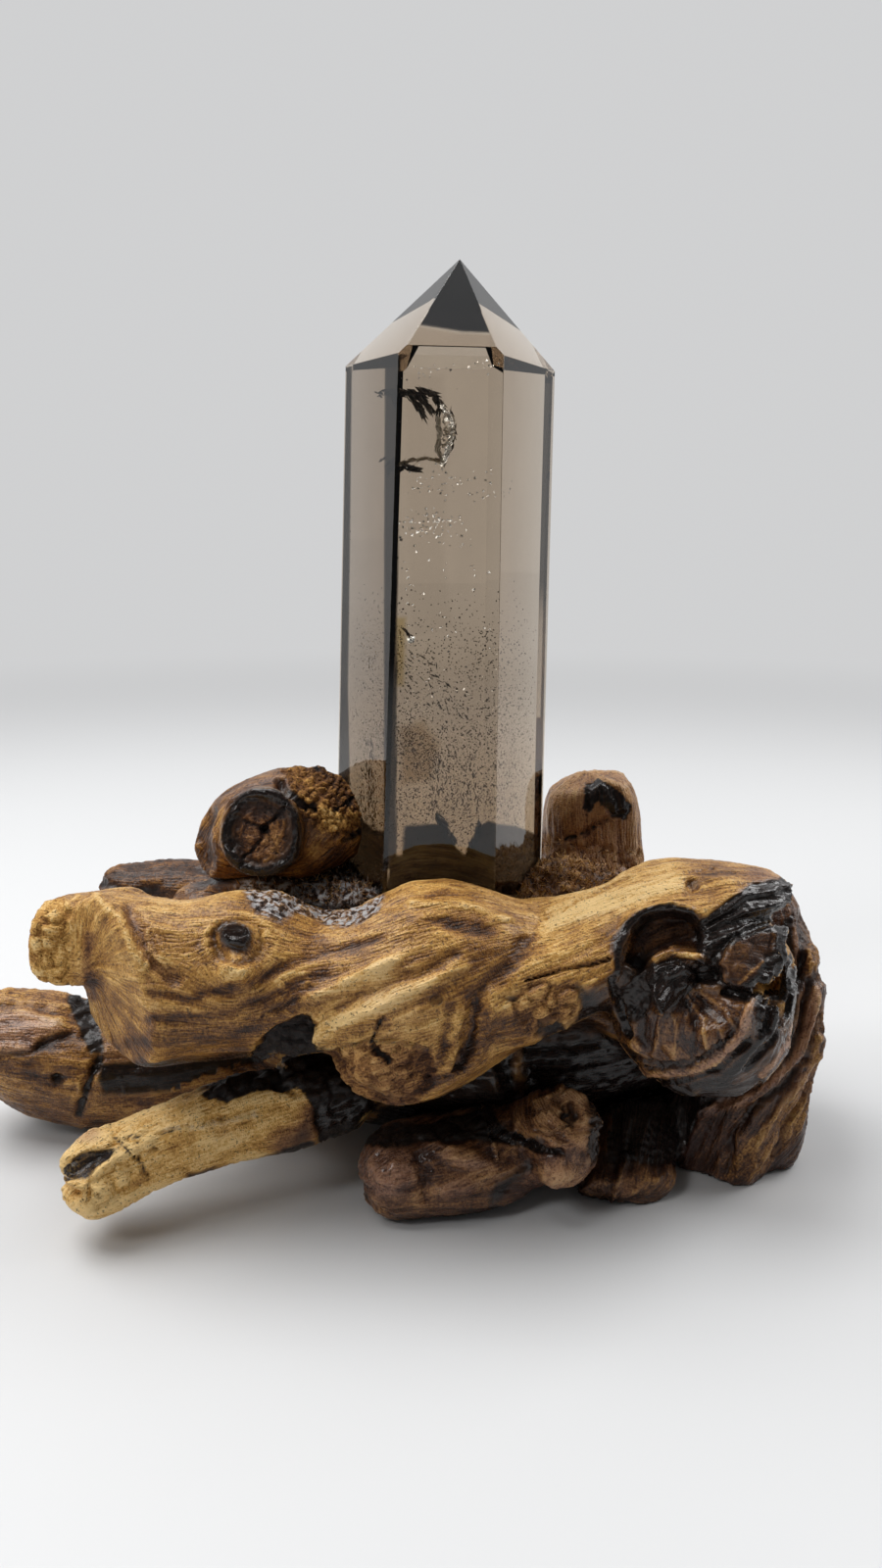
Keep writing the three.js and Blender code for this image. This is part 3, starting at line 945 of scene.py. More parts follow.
limbMarks = {
    "barkEnd": patch(8, (14, 925), (60, 900), (72, 930), (70, 965), (78, 1015), (60, 1035), (26, 1015),
        (12, 975), rough=0.95, tone=0.12, wet=-0.4),
    "fanFace": patch(8, (72, 905), (100, 912), (120, 935), (133, 962), (150, 990), (163, 1030), (163, 1088),
        (100, 1085), (78, 1015), (70, 965), tone=0.05, wet=-0.2),
    "fanStreak": stroke(10, (93, 955), (90, 985), (94, 1015), tone=-0.3, purple=0.4),
    "fanLip": ridge(7, 1.2, 0.12, (96, 912), (119, 934), (133, 962), (146, 986)),
    "saddle": stroke(12, (134, 930), (146, 958), (158, 984), (176, 1000), lift=-2.0, purple=0.3,
        tone=-0.04),
    # a raised fold, painted paler as a highlight
    "saddleHighlight": ridge(4, 0.9, 0.2, (148, 950), (152, 970), (168, 984)),
    "cornerShade": stroke(9, (150, 1000), (158, 1030), (150, 1062), tone=-0.12, purple=0.25),
    "limbKnot": spot((241, 956), (20, 16), turn=20, edge=0.35, lift=3.4, char=0.8, tone=-0.3, purple=0.4,
        wet=1.0),
    # painted highlight on the knot's upper left
    "knotHighlight": spot((238, 950), (12, 7), char=-0.15, purple=0.4),
    "knotRing": ring((243, 960), (25, 22), wide=0.22, lift=-1.5, char=0.35),
    "knotFlare": ring((246, 962), (36, 29), wide=0.2, lift=0.6, tone=0.1),
    "budRing": ring((299, 1001), (16, 9), wide=0.3, lift=0.8, tone=0.16),
    "specklePatch": spot((245, 997), (22, 12), tone=0.16, rough=0.3),
    "ashSpill": patch(9, (250, 908), (280, 898), (335, 902), (392, 912), (386, 930), (366, 942), (340, 946),
        (318, 934), (304, 930), (286, 940), (262, 932), ash=1.0, rough=0.8, tone=-0.2, wet=-0.2),
    "lowerShade": stroke(34, (110, 1070), (200, 1058), (280, 1040), (330, 1010), tone=-0.16),
    "bandUpper": stroke(7, (150, 1014), (190, 1020), (232, 1010), (274, 994), (330, 972), (390, 955),
        tone=-0.26, lift=-0.5),
    "bandMiddle": stroke(8, (150, 1040), (230, 1034), (290, 1010), (340, 986), tone=-0.22, lift=-0.5),
    "bandLower": stroke(9, (130, 1064), (220, 1062), (275, 1046), tone=-0.2),
    # painted shade under the limb
    "limbUnderShade": stroke(10, (105, 1082), (180, 1092), (250, 1076), tone=-0.25, char=0.25),
    # painted light along the top of the limb
    "topHighlight": stroke(10, (160, 925), (205, 925), (240, 915), tone=0.12),
    # painted shade in a dip on top of the limb
    "dipShade": stroke(12, (280, 935), (300, 950), (330, 965), tone=-0.12),
    # raised wave ridges, painted paler along their crests as highlights
    "waveHighlightA": ridge(10, 1.4, 0.2, (315, 1022), (340, 1008), (365, 997), (402, 983)),
    "troughA": stroke(9, (348, 1026), (385, 1009), (425, 995), (462, 975), lift=-1.4, tone=-0.12),
    "waveHighlightB": ridge(13, 1.4, 0.20, (300, 1068), (333, 1056), (381, 1030), (427, 1008), (470, 986)),
    "waveC": ridge(9, 1.0, 0.1, (400, 1042), (425, 1032), (450, 1030)),
    "crestHighlight": stroke(13, (304, 1054), (340, 1042), (372, 1030), (404, 1018), tone=0.22),
    "waveHighlight": ridge(9, 0.8, 0.16, (352, 1000), (385, 988), (410, 978)),
    "brownBelt": stroke(11, (398, 934), (440, 938), (478, 948), (505, 955), tone=-0.14),
    "brownBeltLow": stroke(11, (395, 985), (430, 978), (470, 962), (500, 956), tone=-0.12),
    "brownSide": stroke(14, (476, 1012), (500, 1038), (486, 1080), (455, 1108), tone=-0.16),
    "limbSplit": stroke(3, (268, 1036), (288, 1028), (306, 1018), lift=-0.8, tone=-0.12),
    # a shallow dip, painted darker as shade
    "topHollowShade": spot((475, 945), (34, 10), turn=8, lift=-1.0, tone=-0.25),
    "topFold": ridge(6, 0.9, 0.12, (420, 922), (470, 924), (520, 938)),
    "ringKnot": ring((444, 1021), (6, 5), wide=0.7, char=0.5, lift=0.5),
    "ringPit": spot((444, 1021), (4, 3), char=0.4, lift=-0.8),
    "valley": stroke(14, (553, 936), (536, 960), (521, 984), (500, 1005), (484, 1024), (478, 1062),
        (470, 1088), lift=-1.5, tone=-0.08, purple=0.05),
    "foldA": stroke(7, (459, 1030), (451, 1075), (441, 1105), lift=-1.2, tone=-0.14),
    "foldB": stroke(7, (487, 1021), (483, 1055), (470, 1090), (430, 1116), lift=-1.5, tone=-0.2),
    "foldCrestA": ridge(7, 1.1, 0.05, (505, 1010), (500, 1050), (480, 1090)),
    "foldCrestB": stroke(5, (470, 1040), (465, 1064), (456, 1095), lift=0.9),
    "longCrack": crack(2.2, 1.5, 0.8, (535, 1000), (553, 996), (572, 989), (600, 985), (622, 981)),
    "upperCrack": crack(2.0, 0.9, 0.45, (556, 938), (600, 915), (642, 893)),
    "topCrack": crack(1.8, 0.6, 0.3, (660, 905), (700, 888), (730, 886)),
    "valleyEye": spot((523, 1018), (9, 3.5), turn=-8, lift=-1.2, char=0.6),
    "bellyNick": crack(2.4, 1.0, 0.8, (378, 1062), (383, 1050), (388, 1038)),
    "bellyShade": stroke(40, (330, 1100), (400, 1110), (460, 1085), (520, 1060), tone=-0.12),
    "brokenFace": patch(5, (318, 1072), (345, 1073), (374, 1066), (400, 1064), (440, 1074), (446, 1100),
        (425, 1128), (385, 1140), (345, 1120), (322, 1092), lift=-2.0, tone=-0.08, purple=0.3, rough=0.8,
        wet=-0.3),
    "brokenRim": crack(3.5, 1.4, 0.5, (316, 1066), (345, 1070), (374, 1062), (400, 1062), (436, 1070)),
    "brokenHole": crack(4.5, 2.0, 1.0, (380, 1067), (390, 1075), (397, 1084)),
    "paleArm": stroke(30, (560, 950), (620, 925), (690, 897), tone=0.30),
    "armRidge": ridge(14, 1.0, 0.2, (600, 958), (560, 975), (530, 985)),
    "armLower": spot((566, 1030), (36, 28), rough=0.35, tone=0.08),
    "armScorch": spot((560, 1052), (16, 12), char=0.5, lift=-1.5),
    "armEdge": crack(9, 1.0, 0.55, (590, 1008), (600, 1035), (575, 1065), (540, 1075), (500, 1100),
        (450, 1125)),
    "armDimple": spot((707, 901), (8, 6), lift=-2.2, char=0.35),
    "dimpleRim": spot((717, 908), (20, 12), lift=-0.8, tone=-0.08),
    "pinkTip": spot((786, 892), (28, 10), purple=0.6, tone=0.08),
    # painted shade in the cleft where the limb meets the crevice
    "cleft": stroke(8, (262, 1075), (285, 1052), (315, 1040), char=0.7),
    "roughPatch": patch(9, (540, 1000), (588, 1003), (592, 1040), (566, 1062), (528, 1054), (520, 1020),
        tone=-0.1, purple=0.2, rough=0.8),
    # a deep, rough crevice, painted black as shade
    "limbCreviceShade": patch(5, (258, 1080), (272, 1058), (288, 1046), (310, 1037), (322, 1046), (316, 1062),
        (330, 1078), (334, 1100), (300, 1104), (266, 1096), push=6.0, char=1.5, rough=1.3, wet=-0.4),
    # painted light on the upper side of the right arm
    "rightHighlight": stroke(24, (560, 932), (620, 906), (680, 886), tone=0.16, purple=-0.2),
}

goldenLimb = {
    "nodes": ["main_limb"],
    "fine": 0.72,
    "sawn": [((-89, -53, 68), (-0.72, -0.69, -0.06), 26)],
    "routes": [
        [(-118, -36, 73), (-83, -45, 65), (-23, -43, 65), (29, -40, 68), (63, -36, 84), (97, -31, 88)],
        [(-29, -61, 44), (-4, -49, 55), (30, -40, 68)],
    ],
    "swirls": [
        ((-55, -64, 77), (0, -1, 0.2), 11),
        ((70, -62, 60), (0, -1, 0.1), 26),
        ((-38, -62, 66), (0, -1, 0), 6),
        ((3, -67, 60), (0, -1, 0), 4),
    ],
    "fans": [((-100.8, -40.6, 67.2), (-0.72, -0.69, -0.06), 44)],
    "relief": (0.36, 0.30, 0.20),
    "finish": {"tone": 0.58, "wet": 0.2},
    "purpleNoise": 0.15,
    "marks": {**limbMarks, **burlMarks},
    "undersideShade": 0.45,
    "scorch": 0.12,
}


# The knot arm behind on the left, sawn across to show a ringed face

knotArm = {
    "nodes": ["knot_arm"],
    "fine": 0.52,
    "melt": 5,
    "crumb": 2.4,
    "sawn": [((-52.3, -29, 102.2), (-0.25, -0.93, 0.25), 14)],
    "routes": [[(-70, -5, 79), (-56, -7, 96), (-32, -11, 96)]],
    "swirls": [((-53, -20, 101), (-0.25, -0.93, 0.25), 24)],
    "relief": (0.3, 0.25, 0.16),
    "finish": {"tone": 0.27, "wet": 0.25, "char": 0.05},
    "marks": {
        "sawnFace": spot((268, 850), (34, 39), edge=0.15, tone=-0.12, rough=0.35, wet=-0.2),
        "faceRing": ring((268, 850), (36, 40), wide=0.26, lift=1.1, char=1.1, wet=0.5),
        "innerRing": ring((268, 850), (27, 30), wide=0.16, lift=-0.3, char=0.3),
        "redHeart": spot((270, 856), (20, 22), purple=0.35, tone=0.22, char=-0.1),
        "crackHeart": spot((271, 846), (6, 4), lift=-1.8, char=1.0),
        "crackUp": crack(1.8, 1.2, 1.0, (271, 846), (279, 834), (292, 820)),
        "crackLeft": crack(1.7, 1.1, 0.9, (271, 846), (258, 842), (248, 838)),
        "crackDown": crack(1.8, 1.2, 1.0, (271, 846), (262, 862), (250, 872), (245, 885)),
        "crackRight": crack(1.5, 1.0, 0.8, (271, 846), (280, 860), (284, 872)),
        "bark": patch(6, (286, 786), (322, 776), (350, 788), (384, 830), (378, 846), (352, 856), (322, 846),
            (308, 828), (298, 806), rough=1.1, tone=0.08, char=0.06, wet=-0.3),
        # painted light on the bark
        "barkHighlight": spot((350, 836), (26, 14), tone=0.22, purple=-0.3),
        "barkHole": crack(5, 1.5, 0.7, (352, 858), (368, 848), (380, 838)),
        "barkGroove": crack(6, 2.6, 0.9, (284, 800), (300, 812), (312, 822), (318, 822)),
        "barkCap": stroke(5, (300, 780), (318, 777), (326, 785), lift=1.0, char=0.8),
        "barkCrack": crack(2.2, 1.4, 0.8, (340, 826), (352, 818), (366, 812)),
        "smoothSide": stroke(9, (318, 872), (345, 860), (366, 856), tone=0.14, rough=-0.6, char=-0.1),
        "smoothTop": stroke(10, (232, 812), (262, 795), (300, 783), tone=0.1),
        "underShade": stroke(9, (300, 888), (330, 872), (360, 862), tone=0.02, purple=0.2),
        "leftCheek": stroke(9, (228, 830), (222, 862), (230, 890), tone=0.14),
        "leftShave": stroke(18, (206, 830), (198, 856), (204, 882), lift=-3.4),
        "foot": stroke(10, (210, 900), (240, 912), (290, 905), char=0.5),
    },
    "undersideShade": 0.5,
    "scorch": 0.25,
    "purpleNoise": 0.4,
}


# The body of the root under the stone, with the limbs that leave it to the left and behind

rootBody = {
    "nodes": ["root_crown", "far_left_limb", "forked_branch", "back_left_stub", "back_right_stub",
              "rear_left_root", "rear_right_root"],
    "fine": 1.04,
    "melt": 12,
    "lumps": [
        ((-47, -8, 80), (27, 15, 9)),
        ((-72, -6, 72), (14, 11, 9)),
        ((-30, -22, 78), (16, 10, 8)),
        ((36, -4, 78), (18, 14, 8)),
    ],
    "routes": [
        [(-72, 3, 50), (-16, 2, 39), (46, -2, 41), (94, -6, 48)],
        [(-24, -30, 26), (-60, -51, 25), (-90, -64, 19), (-104, -69, 15)],
        [(-152, -11, 28), (-124, -10, 23), (-78, -6, 20), (-50, -2, 26)],
        [(-118, 22, 69), (-76, 18, 69), (-50, 10, 68)],
        [(48, 22, 58), (47.5, 24, 94), (45, 24, 108)],
        [(-24, 20, 34), (-76, 46, 17), (-92, 50, 12)],
        [(34, 18, 34), (68, 48, 15), (78, 54, 10)],
    ],
    "relief": (0.55, 0.5, 0.25),
    "finish": {"tone": 0.24, "char": 0.1, "wet": 0.35},
    "limbFinish": [
        (["forked_branch"], {"tone": 0.80, "char": -0.25, "rough": 0.3, "wet": 0.0}),
        (["far_left_limb"], {"tone": 0.36, "char": -0.1, "rough": 0.12, "wet": 0.3}),
        (["back_left_stub"], {"tone": 0.25, "char": 0.05, "rough": 0.35, "wet": 0.3}),
        (["back_right_stub"], {"tone": 0.56, "purple": 0.6, "char": -0.3, "wet": 0.3}),
        (["rear_left_root"], {"tone": 0.34, "char": -0.05, "rough": 0.15, "wet": 0.3}),
        (["rear_right_root"], {"tone": 0.30, "char": 0.0, "purple": 0.25, "wet": 0.4}),
    ],
    "marks": {
        # the fibrous bed that was gouged out for the stone
        "bedLeft": patch(12, (240, 905), (290, 885), (340, 868), (372, 850), (404, 880), (410, 905),
            (390, 925), (350, 945), (250, 930), ash=1.1, rough=1.0, wet=-0.3),
        "bedRight": patch(12, (500, 915), (530, 880), (555, 850), (600, 862), (660, 868), (655, 895),
            (600, 930), (550, 945), (505, 935), ash=0.18, rough=1.0, wet=-0.3, tone=0.1, char=0.12),
        "bedFront": stroke(16, (395, 905), (440, 925), (490, 935), (520, 925), char=0.6, rough=0.5),
        "blackChunk": patch(6, (68, 1016), (92, 1012), (108, 1072), (90, 1074), char=1.0, rough=0.9,
            wet=0.4),
        # the stub behind on the right
        "stubBlotch": patch(4, (596, 800), (608, 794), (632, 806), (644, 824), (638, 838), (624, 832),
            (610, 816), (604, 832), (594, 826), char=1.5, wet=0.3),
        # painted shade: the black spot deep in the channel, on this piece's skin
        "burlBehindShade": spot((796, 1006), (22, 28), char=1.6),
        "stubCrack": crack(2.4, 1.4, 1.4, (577, 856), (600, 848), (620, 836), (642, 828)),
        "stubDark": stroke(10, (560, 800), (564, 835), (572, 870), char=0.45),
        "stubFace": patch(12, (590, 812), (640, 835), (652, 880), (600, 880), (580, 850), tone=0.05,
            purple=0.1, lift=-0.8),
        # the thin stub behind on the left
        "shelfPit": spot((208, 892), (12, 11), lift=-2.0, char=0.5, purple=0.4),
        "shelfDark": crack(8, 1.0, 0.6, (100, 900), (130, 912), (160, 905)),
        # the limb that leaves to the far left
        "ochreTop": patch(10, (-10, 1010), (40, 1003), (80, 1025), (70, 1050), (40, 1040), (-10, 1030),
            tone=0.22, rough=0.25),
        "pinkPatch": patch(8, (-10, 1035), (30, 1030), (62, 1040), (66, 1052), (38, 1060), (34, 1074),
            (-10, 1076), lift=1.2, purple=0.8, tone=0.26, wet=0.4, rough=-0.3),
        "pinkGroove": crack(4, 1.3, 0.35, (-6, 1079), (30, 1074), (44, 1064), (70, 1055)),
        "limbPit": spot((58, 1101), (9, 7), lift=-2.2, char=0.6),
        "paleFold": ridge(6, 0.9, 0.18, (66, 1108), (80, 1106), (90, 1120)),
        "bandEnd": crack(6, 1.4, 1.1, (100, 1078), (92, 1108), (80, 1138)),
        "innerRoll": stroke(8, (100, 1130), (140, 1128), (175, 1120), tone=0.2, char=-0.3),
        # painted shade under the golden limb
        "underLimbShade": patch(12, (100, 1084), (262, 1076), (262, 1100), (215, 1110), (150, 1116), (104, 1118),
            char=0.95),
        # the forked branch
        "forkNotch": patch(4, (62, 1205), (64, 1190), (84, 1176), (122, 1170), (112, 1184), (90, 1198),
            (72, 1206), push=4.0, char=0.95, wet=0.4),
        "forkCracks": patch(6, (78, 1204), (125, 1178), (140, 1195), (130, 1218), (100, 1236), (76, 1224),
            rough=0.9, tone=0.1),
        "crackleBand": patch(8, (118, 1150), (145, 1145), (165, 1165), (150, 1195), (130, 1185),
            rough=0.45),
        "prongPink": spot((86, 1157), (18, 10), purple=0.6, tone=0.1, lift=1.0),
        "forkCrackA": crack(2.4, 1.1, 1.0, (112, 1150), (122, 1166), (138, 1180), (150, 1200)),
        "forkCrackB": crack(2.2, 1.0, 0.9, (130, 1152), (142, 1168), (160, 1172)),
        "forkCrackC": crack(2.0, 0.9, 0.9, (122, 1166), (136, 1158), (150, 1162)),
        "branchCrack": crack(2.0, 0.8, 0.8, (160, 1158), (196, 1150), (232, 1140)),
        "paleStroke": stroke(5, (170, 1152), (215, 1148), (262, 1138), lift=0.9, ash=0.35, tone=0.14),
        "branchLoop": crack(3, 0.9, 0.3, (118, 1150), (120, 1162), (112, 1170)),
        "branchRed": stroke(26, (290, 1170), (312, 1158), (322, 1138), purple=0.6, tone=-0.4, char=0.4),
        # painted shade under the branch
        "branchUnderShade": stroke(8, (195, 1200), (250, 1190), (320, 1172), tone=-0.26, char=0.55),
        # rough ground, painted black as shade under the limb
        "shadedPlate": patch(6, (206, 1117), (236, 1090), (262, 1084), (300, 1090), (312, 1108), (288, 1114),
            (262, 1112), (232, 1124), char=1.5, rough=1.0, wet=0.2),
        # the knob and the grey notch where the branch leaves the body
        "smallKnob": spot((302, 1088), (18, 20), lift=2.5, tone=0.12, purple=0.3, wet=0.5),
        "knobShade": crack(4, 1.5, 0.8, (282, 1075), (284, 1105), (300, 1118)),
        "greyNotch": patch(12, (324, 1132), (344, 1114), (372, 1128), (364, 1146), (336, 1174), (326, 1158),
            lift=-1.5, char=1.1, ash=0.15, wet=0.8),
        # painted shade where the branch leaves the body, over rough ground
        "creviceShade": patch(8, (236, 1092), (262, 1066), (300, 1040), (330, 1045), (352, 1075), (376, 1118),
            (346, 1124), (318, 1094), (285, 1082), char=1.5, rough=0.6),
        "junctionShade": patch(8, (292, 1052), (345, 1050), (372, 1080), (382, 1130), (352, 1150),
            (322, 1130), (306, 1112), (296, 1085), char=1.5, rough=0.4),
        # the dark glossy middle, with painted shade in its recess
        "recessDeepShade": patch(16, (500, 1068), (560, 1050), (600, 1045), (690, 1095), (700, 1130),
            (600, 1135), (520, 1120), push=7.0, rough=0.5, char=0.3),
        "recessShade": patch(18, (330, 1130), (420, 1125), (520, 1070), (620, 1060), (700, 1110), (700, 1200),
            (330, 1200), char=0.6, wet=0.4),
        "ribbedNeck": stroke(17, (520, 1052), (528, 1085), (530, 1120), (520, 1158), char=-0.7, tone=0.16,
            purple=0.3, wet=0.4, lift=2.2, rough=0.5),
    },
    "creviceReach": 4.0,
    "undersideShade": 0.6,
    "scorch": 0.35,
    "purpleNoise": 0.4,
}


# The feet and the tall lobe on the right

frontFeet = {
    "nodes": ["front_foot", "middle_foot", "right_lobe"],
    "fine": 0.62,
    "routes": [
        [(34, -26, 15), (0, -47, 10.5), (-25, -55, 11.5)],
        [(20, -28, 16), (36, -62, 22)],
        [(56, -14, 14), (49, -46, 4), (48, -54, 2)],
        [(96, -8, 86), (98, -8, 70), (97, -10, 53), (93, -14, 36), (84, -21, 6), (70, -22, 0)],
    ],
    "swirls": [((38, -60, 22), (0.3, -1, 0.1), 9)],
    "reference": (0.3, 0, -1),
    "relief": (0.6, 0.5, 0.25),
    "finish": {"tone": 0.36, "purple": 0.55, "wet": 0.4, "rough": 0.12},
    "limbFinish": [
        (["right_lobe"], {"tone": 0.15, "purple": 0.45, "wet": 0.4, "rough": 0.0}),
        (["middle_foot"], {"tone": 0.16, "char": 0.2, "purple": 0.35, "wet": 0.45}),
    ],
    "marks": {
        # purple-brown nose, painted paler in part as a highlight
        "footNose": spot((392, 1195), (38, 30), tone=0.16, purple=0.6, wet=0.3, lift=1.0),
        "footDent": stroke(8, (425, 1180), (436, 1200), (432, 1222), lift=-1.8, tone=-0.08),
        "footLumpA": spot((470, 1178), (24, 12), turn=12, lift=1.8, tone=0.1),
        "footLumpB": spot((468, 1212), (26, 12), turn=-12, lift=1.5, purple=0.3),
        # painted reddish highlight on the top of the foot
        "footHighlight": stroke(15, (440, 1165), (462, 1180), (500, 1192), tone=0.1, lift=0.8, purple=0.2),
        "footBand": stroke(13, (425, 1225), (465, 1200), (500, 1196), tone=0.16),
        "footCrease": stroke(7, (352, 1205), (400, 1218), (450, 1205), lift=-0.8, tone=-0.1),
        "footTipHole": spot((368, 1222), (9, 8), push=2.0, char=0.7, rough=0.8),
        "footTop": patch(8, (350, 1160), (400, 1146), (440, 1146), (500, 1130), (524, 1168), (480, 1162),
            (430, 1164), (395, 1172), char=0.9, rough=0.5),
        "blackTongue": stroke(12, (540, 1190), (520, 1205), (505, 1228), char=0.6, wet=0.4),
        "neckGloss": stroke(14, (505, 1150), (530, 1165), (545, 1165), char=0.7, wet=0.5),
        "splinterEdge": ridge(3, 1.0, 0.4, (492, 1130), (502, 1160), (508, 1182)),
        "knobFace": spot((580, 1143), (33, 33), edge=0.3, tone=0.20, purple=0.15, wet=-0.2, lift=1.5),
        "knobHollow": spot((570, 1140), (26, 22), push=2.5, tone=0.1, rough=0.3),
        "knobPit": spot((582, 1140), (9, 10), push=3.0, char=0.6),
        "knobFibreA": crack(2.2, 0.9, 0.4, (580, 1140), (560, 1130), (545, 1138)),
        "knobFibreB": crack(2.2, 0.9, 0.4, (580, 1148), (560, 1155), (545, 1152)),
        "knobFibreC": crack(2.2, 0.9, 0.4, (576, 1132), (566, 1118), (580, 1112)),
        "knobRim": ridge(6, 1.2, 0.1, (548, 1126), (575, 1112), (602, 1124), (612, 1145)),
        "knobNotch": crack(5, 2.0, 0.9, (528, 1160), (545, 1172), (572, 1178)),
        "midFootSole": stroke(20, (560, 1200), (600, 1208), (640, 1214), (690, 1200), tone=0.24, char=-0.9,
            lift=1.5),
        "midFootRib": ridge(5, 1.2, 0.08, (640, 1180), (632, 1205), (622, 1226)),
        "midFootShade": patch(12, (600, 1110), (700, 1105), (700, 1150), (690, 1190), (640, 1185),
            (600, 1190), char=0.7),
        "lobeLeftShade": patch(8, (700, 1095), (745, 1098), (770, 1060), (782, 985), (800, 940), (812, 930),
            (806, 990), (798, 1040), (782, 1080), (750, 1112), (715, 1135), (700, 1170), char=0.85,
            wet=0.3),
        # painted shade: the black spot deep in the channel, on this piece's skin
        "lobeInnerShade": spot((787, 1012), (18, 22), char=1.6),
        # a raised band, painted pinkish-grey as a highlight, with a narrower painted highlight on its crest
        "lobeHighlightBand": stroke(11, (836, 1008), (826, 1045), (808, 1080), (786, 1104), (752, 1122),
            (720, 1132), lift=1.8, tone=0.40, purple=0.8, char=-0.2, wet=0.2),
        "highlightCrest": stroke(5, (812, 1000), (806, 1050), (790, 1084), (757, 1110), (716, 1122), lift=1.2,
            tone=0.2, purple=0.3),
        "lobeFront": stroke(10, (722, 1128), (706, 1150), (698, 1185), lift=1.2, tone=0.12, purple=0.4),
        "lobeGrooveA": crack(7, 2.4, 0.45, (820, 930), (822, 965), (814, 1000), (800, 1050), (786, 1080)),
        "lobeGrooveB": crack(7, 2.4, 0.4, (828, 1000), (820, 1045), (800, 1084), (772, 1108), (734, 1128)),
        "lobeRidgeB": stroke(7, (838, 1060), (826, 1096), (800, 1124), (780, 1150), (768, 1190), lift=1.8,
            tone=0.16, purple=0.2),
        "lobeGrooveC": crack(7, 2.2, 0.35, (836, 1040), (822, 1080), (796, 1110), (764, 1132), (746, 1160),
            (744, 1195)),
        "lobeGrooveD": crack(6, 1.8, 0.25, (838, 1085), (822, 1122), (802, 1148), (792, 1180)),
        "lobeOuter": patch(10, (815, 935), (840, 965), (842, 1050), (838, 1110), (815, 1165), (780, 1200),
            (735, 1205), (756, 1170), (796, 1132), (826, 1092), (834, 1030), (822, 985), tone=0.2,
            purple=-0.3, rough=0.4, wet=-0.15),
        "lobeKnuckle": spot((830, 975), (9, 14), lift=1.5, tone=0.14),
    },
    "undersideShade": 0.5,
    "scorch": 0.3,
    "purpleNoise": 0.4,
}


# Splinters standing up in the gouged bed round the stone

bedSplinters = {
    "amount": 2600,
    "length": (0.9, 3.2),
    "width": (0.12, 0.3),
    "seed": 4,
    "bed": ((-65, 59), (-40, 34), (66, farOff)),
    "level": 0.25,  # how far the ground faces up, at least
    "upright": 1.1,
    "sunk": 0.5,
    "bend": 0.3,
    "rings": ((0, 1.0), (0.55, 0.8), (1, 0.25)),  # share of the length, share of the width
    "turns": (0, 2.1, 4.2),
    "tone": (0.2, 0.75),
    "ashShare": (0.3, 1.0),
}


def copiedFaces(faces, corners, count):
    # the faces of a small shape, for every one of its copies
    starts = corners * np.arange(count // corners)
    return (np.array(faces) + starts[:, None, None]).reshape(-1, 3)


def buildSplinters(points, quads, attributes):
    spec = bedSplinters
    dice = np.random.default_rng(spec["seed"])
    normals = quadNormals(points, quads)
    likely = attributes["rough"] ** 2 * (normals[:, 2] > spec["level"])
    for k, (low, high) in enumerate(spec["bed"]):
        likely *= (points[:, k] > low) & (points[:, k] < high)
    chosen = dice.choice(len(points), spec["amount"], p=likely / likely.sum())
    each = len(spec["rings"]) * len(spec["turns"])
    corners, tones, ashes = [], [], []
    for k in chosen:
        lean = dice.normal(0, 1, 3) + normals[k] * spec["upright"]
        lean -= min(0, lean @ normals[k]) * normals[k]
        lean /= np.linalg.norm(lean)
        side = np.cross(lean, dice.normal(0, 1, 3))
        side /= np.linalg.norm(side)
        other = np.cross(lean, side)
        length = dice.uniform(*spec["length"])
        width = dice.uniform(*spec["width"])
        foot = points[k] - normals[k] * spec["sunk"]
        bend = side * dice.uniform(-spec["bend"], spec["bend"]) * length
        for (share, wide), turn in product(spec["rings"], spec["turns"]):
            middle = foot + lean * length * share + bend * share * share
            corners.append(middle + (side * math.cos(turn) + other * math.sin(turn)) * width * wide)
        tones.append(dice.uniform(*spec["tone"]))
        ashes.append(attributes["ash"][k] * dice.uniform(*spec["ashShare"]))
    faces = []
    for first, k in product((0, 3), range(3)):
        a, b = first + k, first + (k + 1) % 3
        faces += [(a, b, b + 3), (a, b + 3, a + 3)]
    faces += [(0, 2, 1), (6, 7, 8)]
    finish = {key: np.zeros(len(corners)) for key in finishNames}
    finish["tone"] = np.repeat(tones, each)
    finish["ash"] = np.repeat(ashes, each)
    finish["grain"] = np.full(len(corners), 0.5)
    finish["grainWay"] = np.tile((0.0, 0.0, 1.0), (len(corners), 1))
    corners = np.clip(np.array(corners), boxLow, boxHigh)
    piece = addPiece("bedSplinters", corners, copiedFaces(faces, each, len(corners)), finish, smooth=False)
    piece.data.materials.append(varnishedRoot)


# Smoky quartz

stoneFinish = {
    "bevel": 0.07,
    "bevelSteps": 2,
    "flatAngle": 1.5,  # degrees: smaller bends are taken as one face
    "sharpAngle": 8,  # degrees: larger bends are bevelled
    "ior": 1.55,
    "smoke": (0.66, 0.545, 0.40, 1),
    "smokeDensity": 33.0,
}

# shallow facets ground on the back: the two faces that meet, and how far each is cut back, in mm
backFacets = {
    "behindRight": (("back", 2.4), ("backRight", 3.4)),
    "behindTop": (("back", 1.0), ("pointBack", 6.5)),
}

stoneFront = (towerLow.y / mm) - planOrigin[1]
stoneSides = {
    "front": (0, -1, 0),
    "left": (-0.87, -0.5, 0),
    "right": (0.87, -0.5, 0),
    "point": (0, -0.69, 0.72),
    "back": (0, 1, 0),
    "backRight": (0.87, 0.5, 0),
    "pointBack": (0, 0.69, 0.72),
}


def buildSmokyQuartz():
    spec = stoneFinish
    graph = newGraph("smokyQuartz")
    graph.surface(graph.principled({
        "Base Color": (1, 1, 1, 1),
        "Roughness": 0.0,
        "IOR": spec["ior"],
        "Transmission Weight": 1.0,
    }))
    smoke = graph.add("ShaderNodeVolumeAbsorption", spec["smoke"], spec["smokeDensity"])
    graph.feed(smoke.outputs[0], graph.output.inputs["Volume"])
    return graph.owner


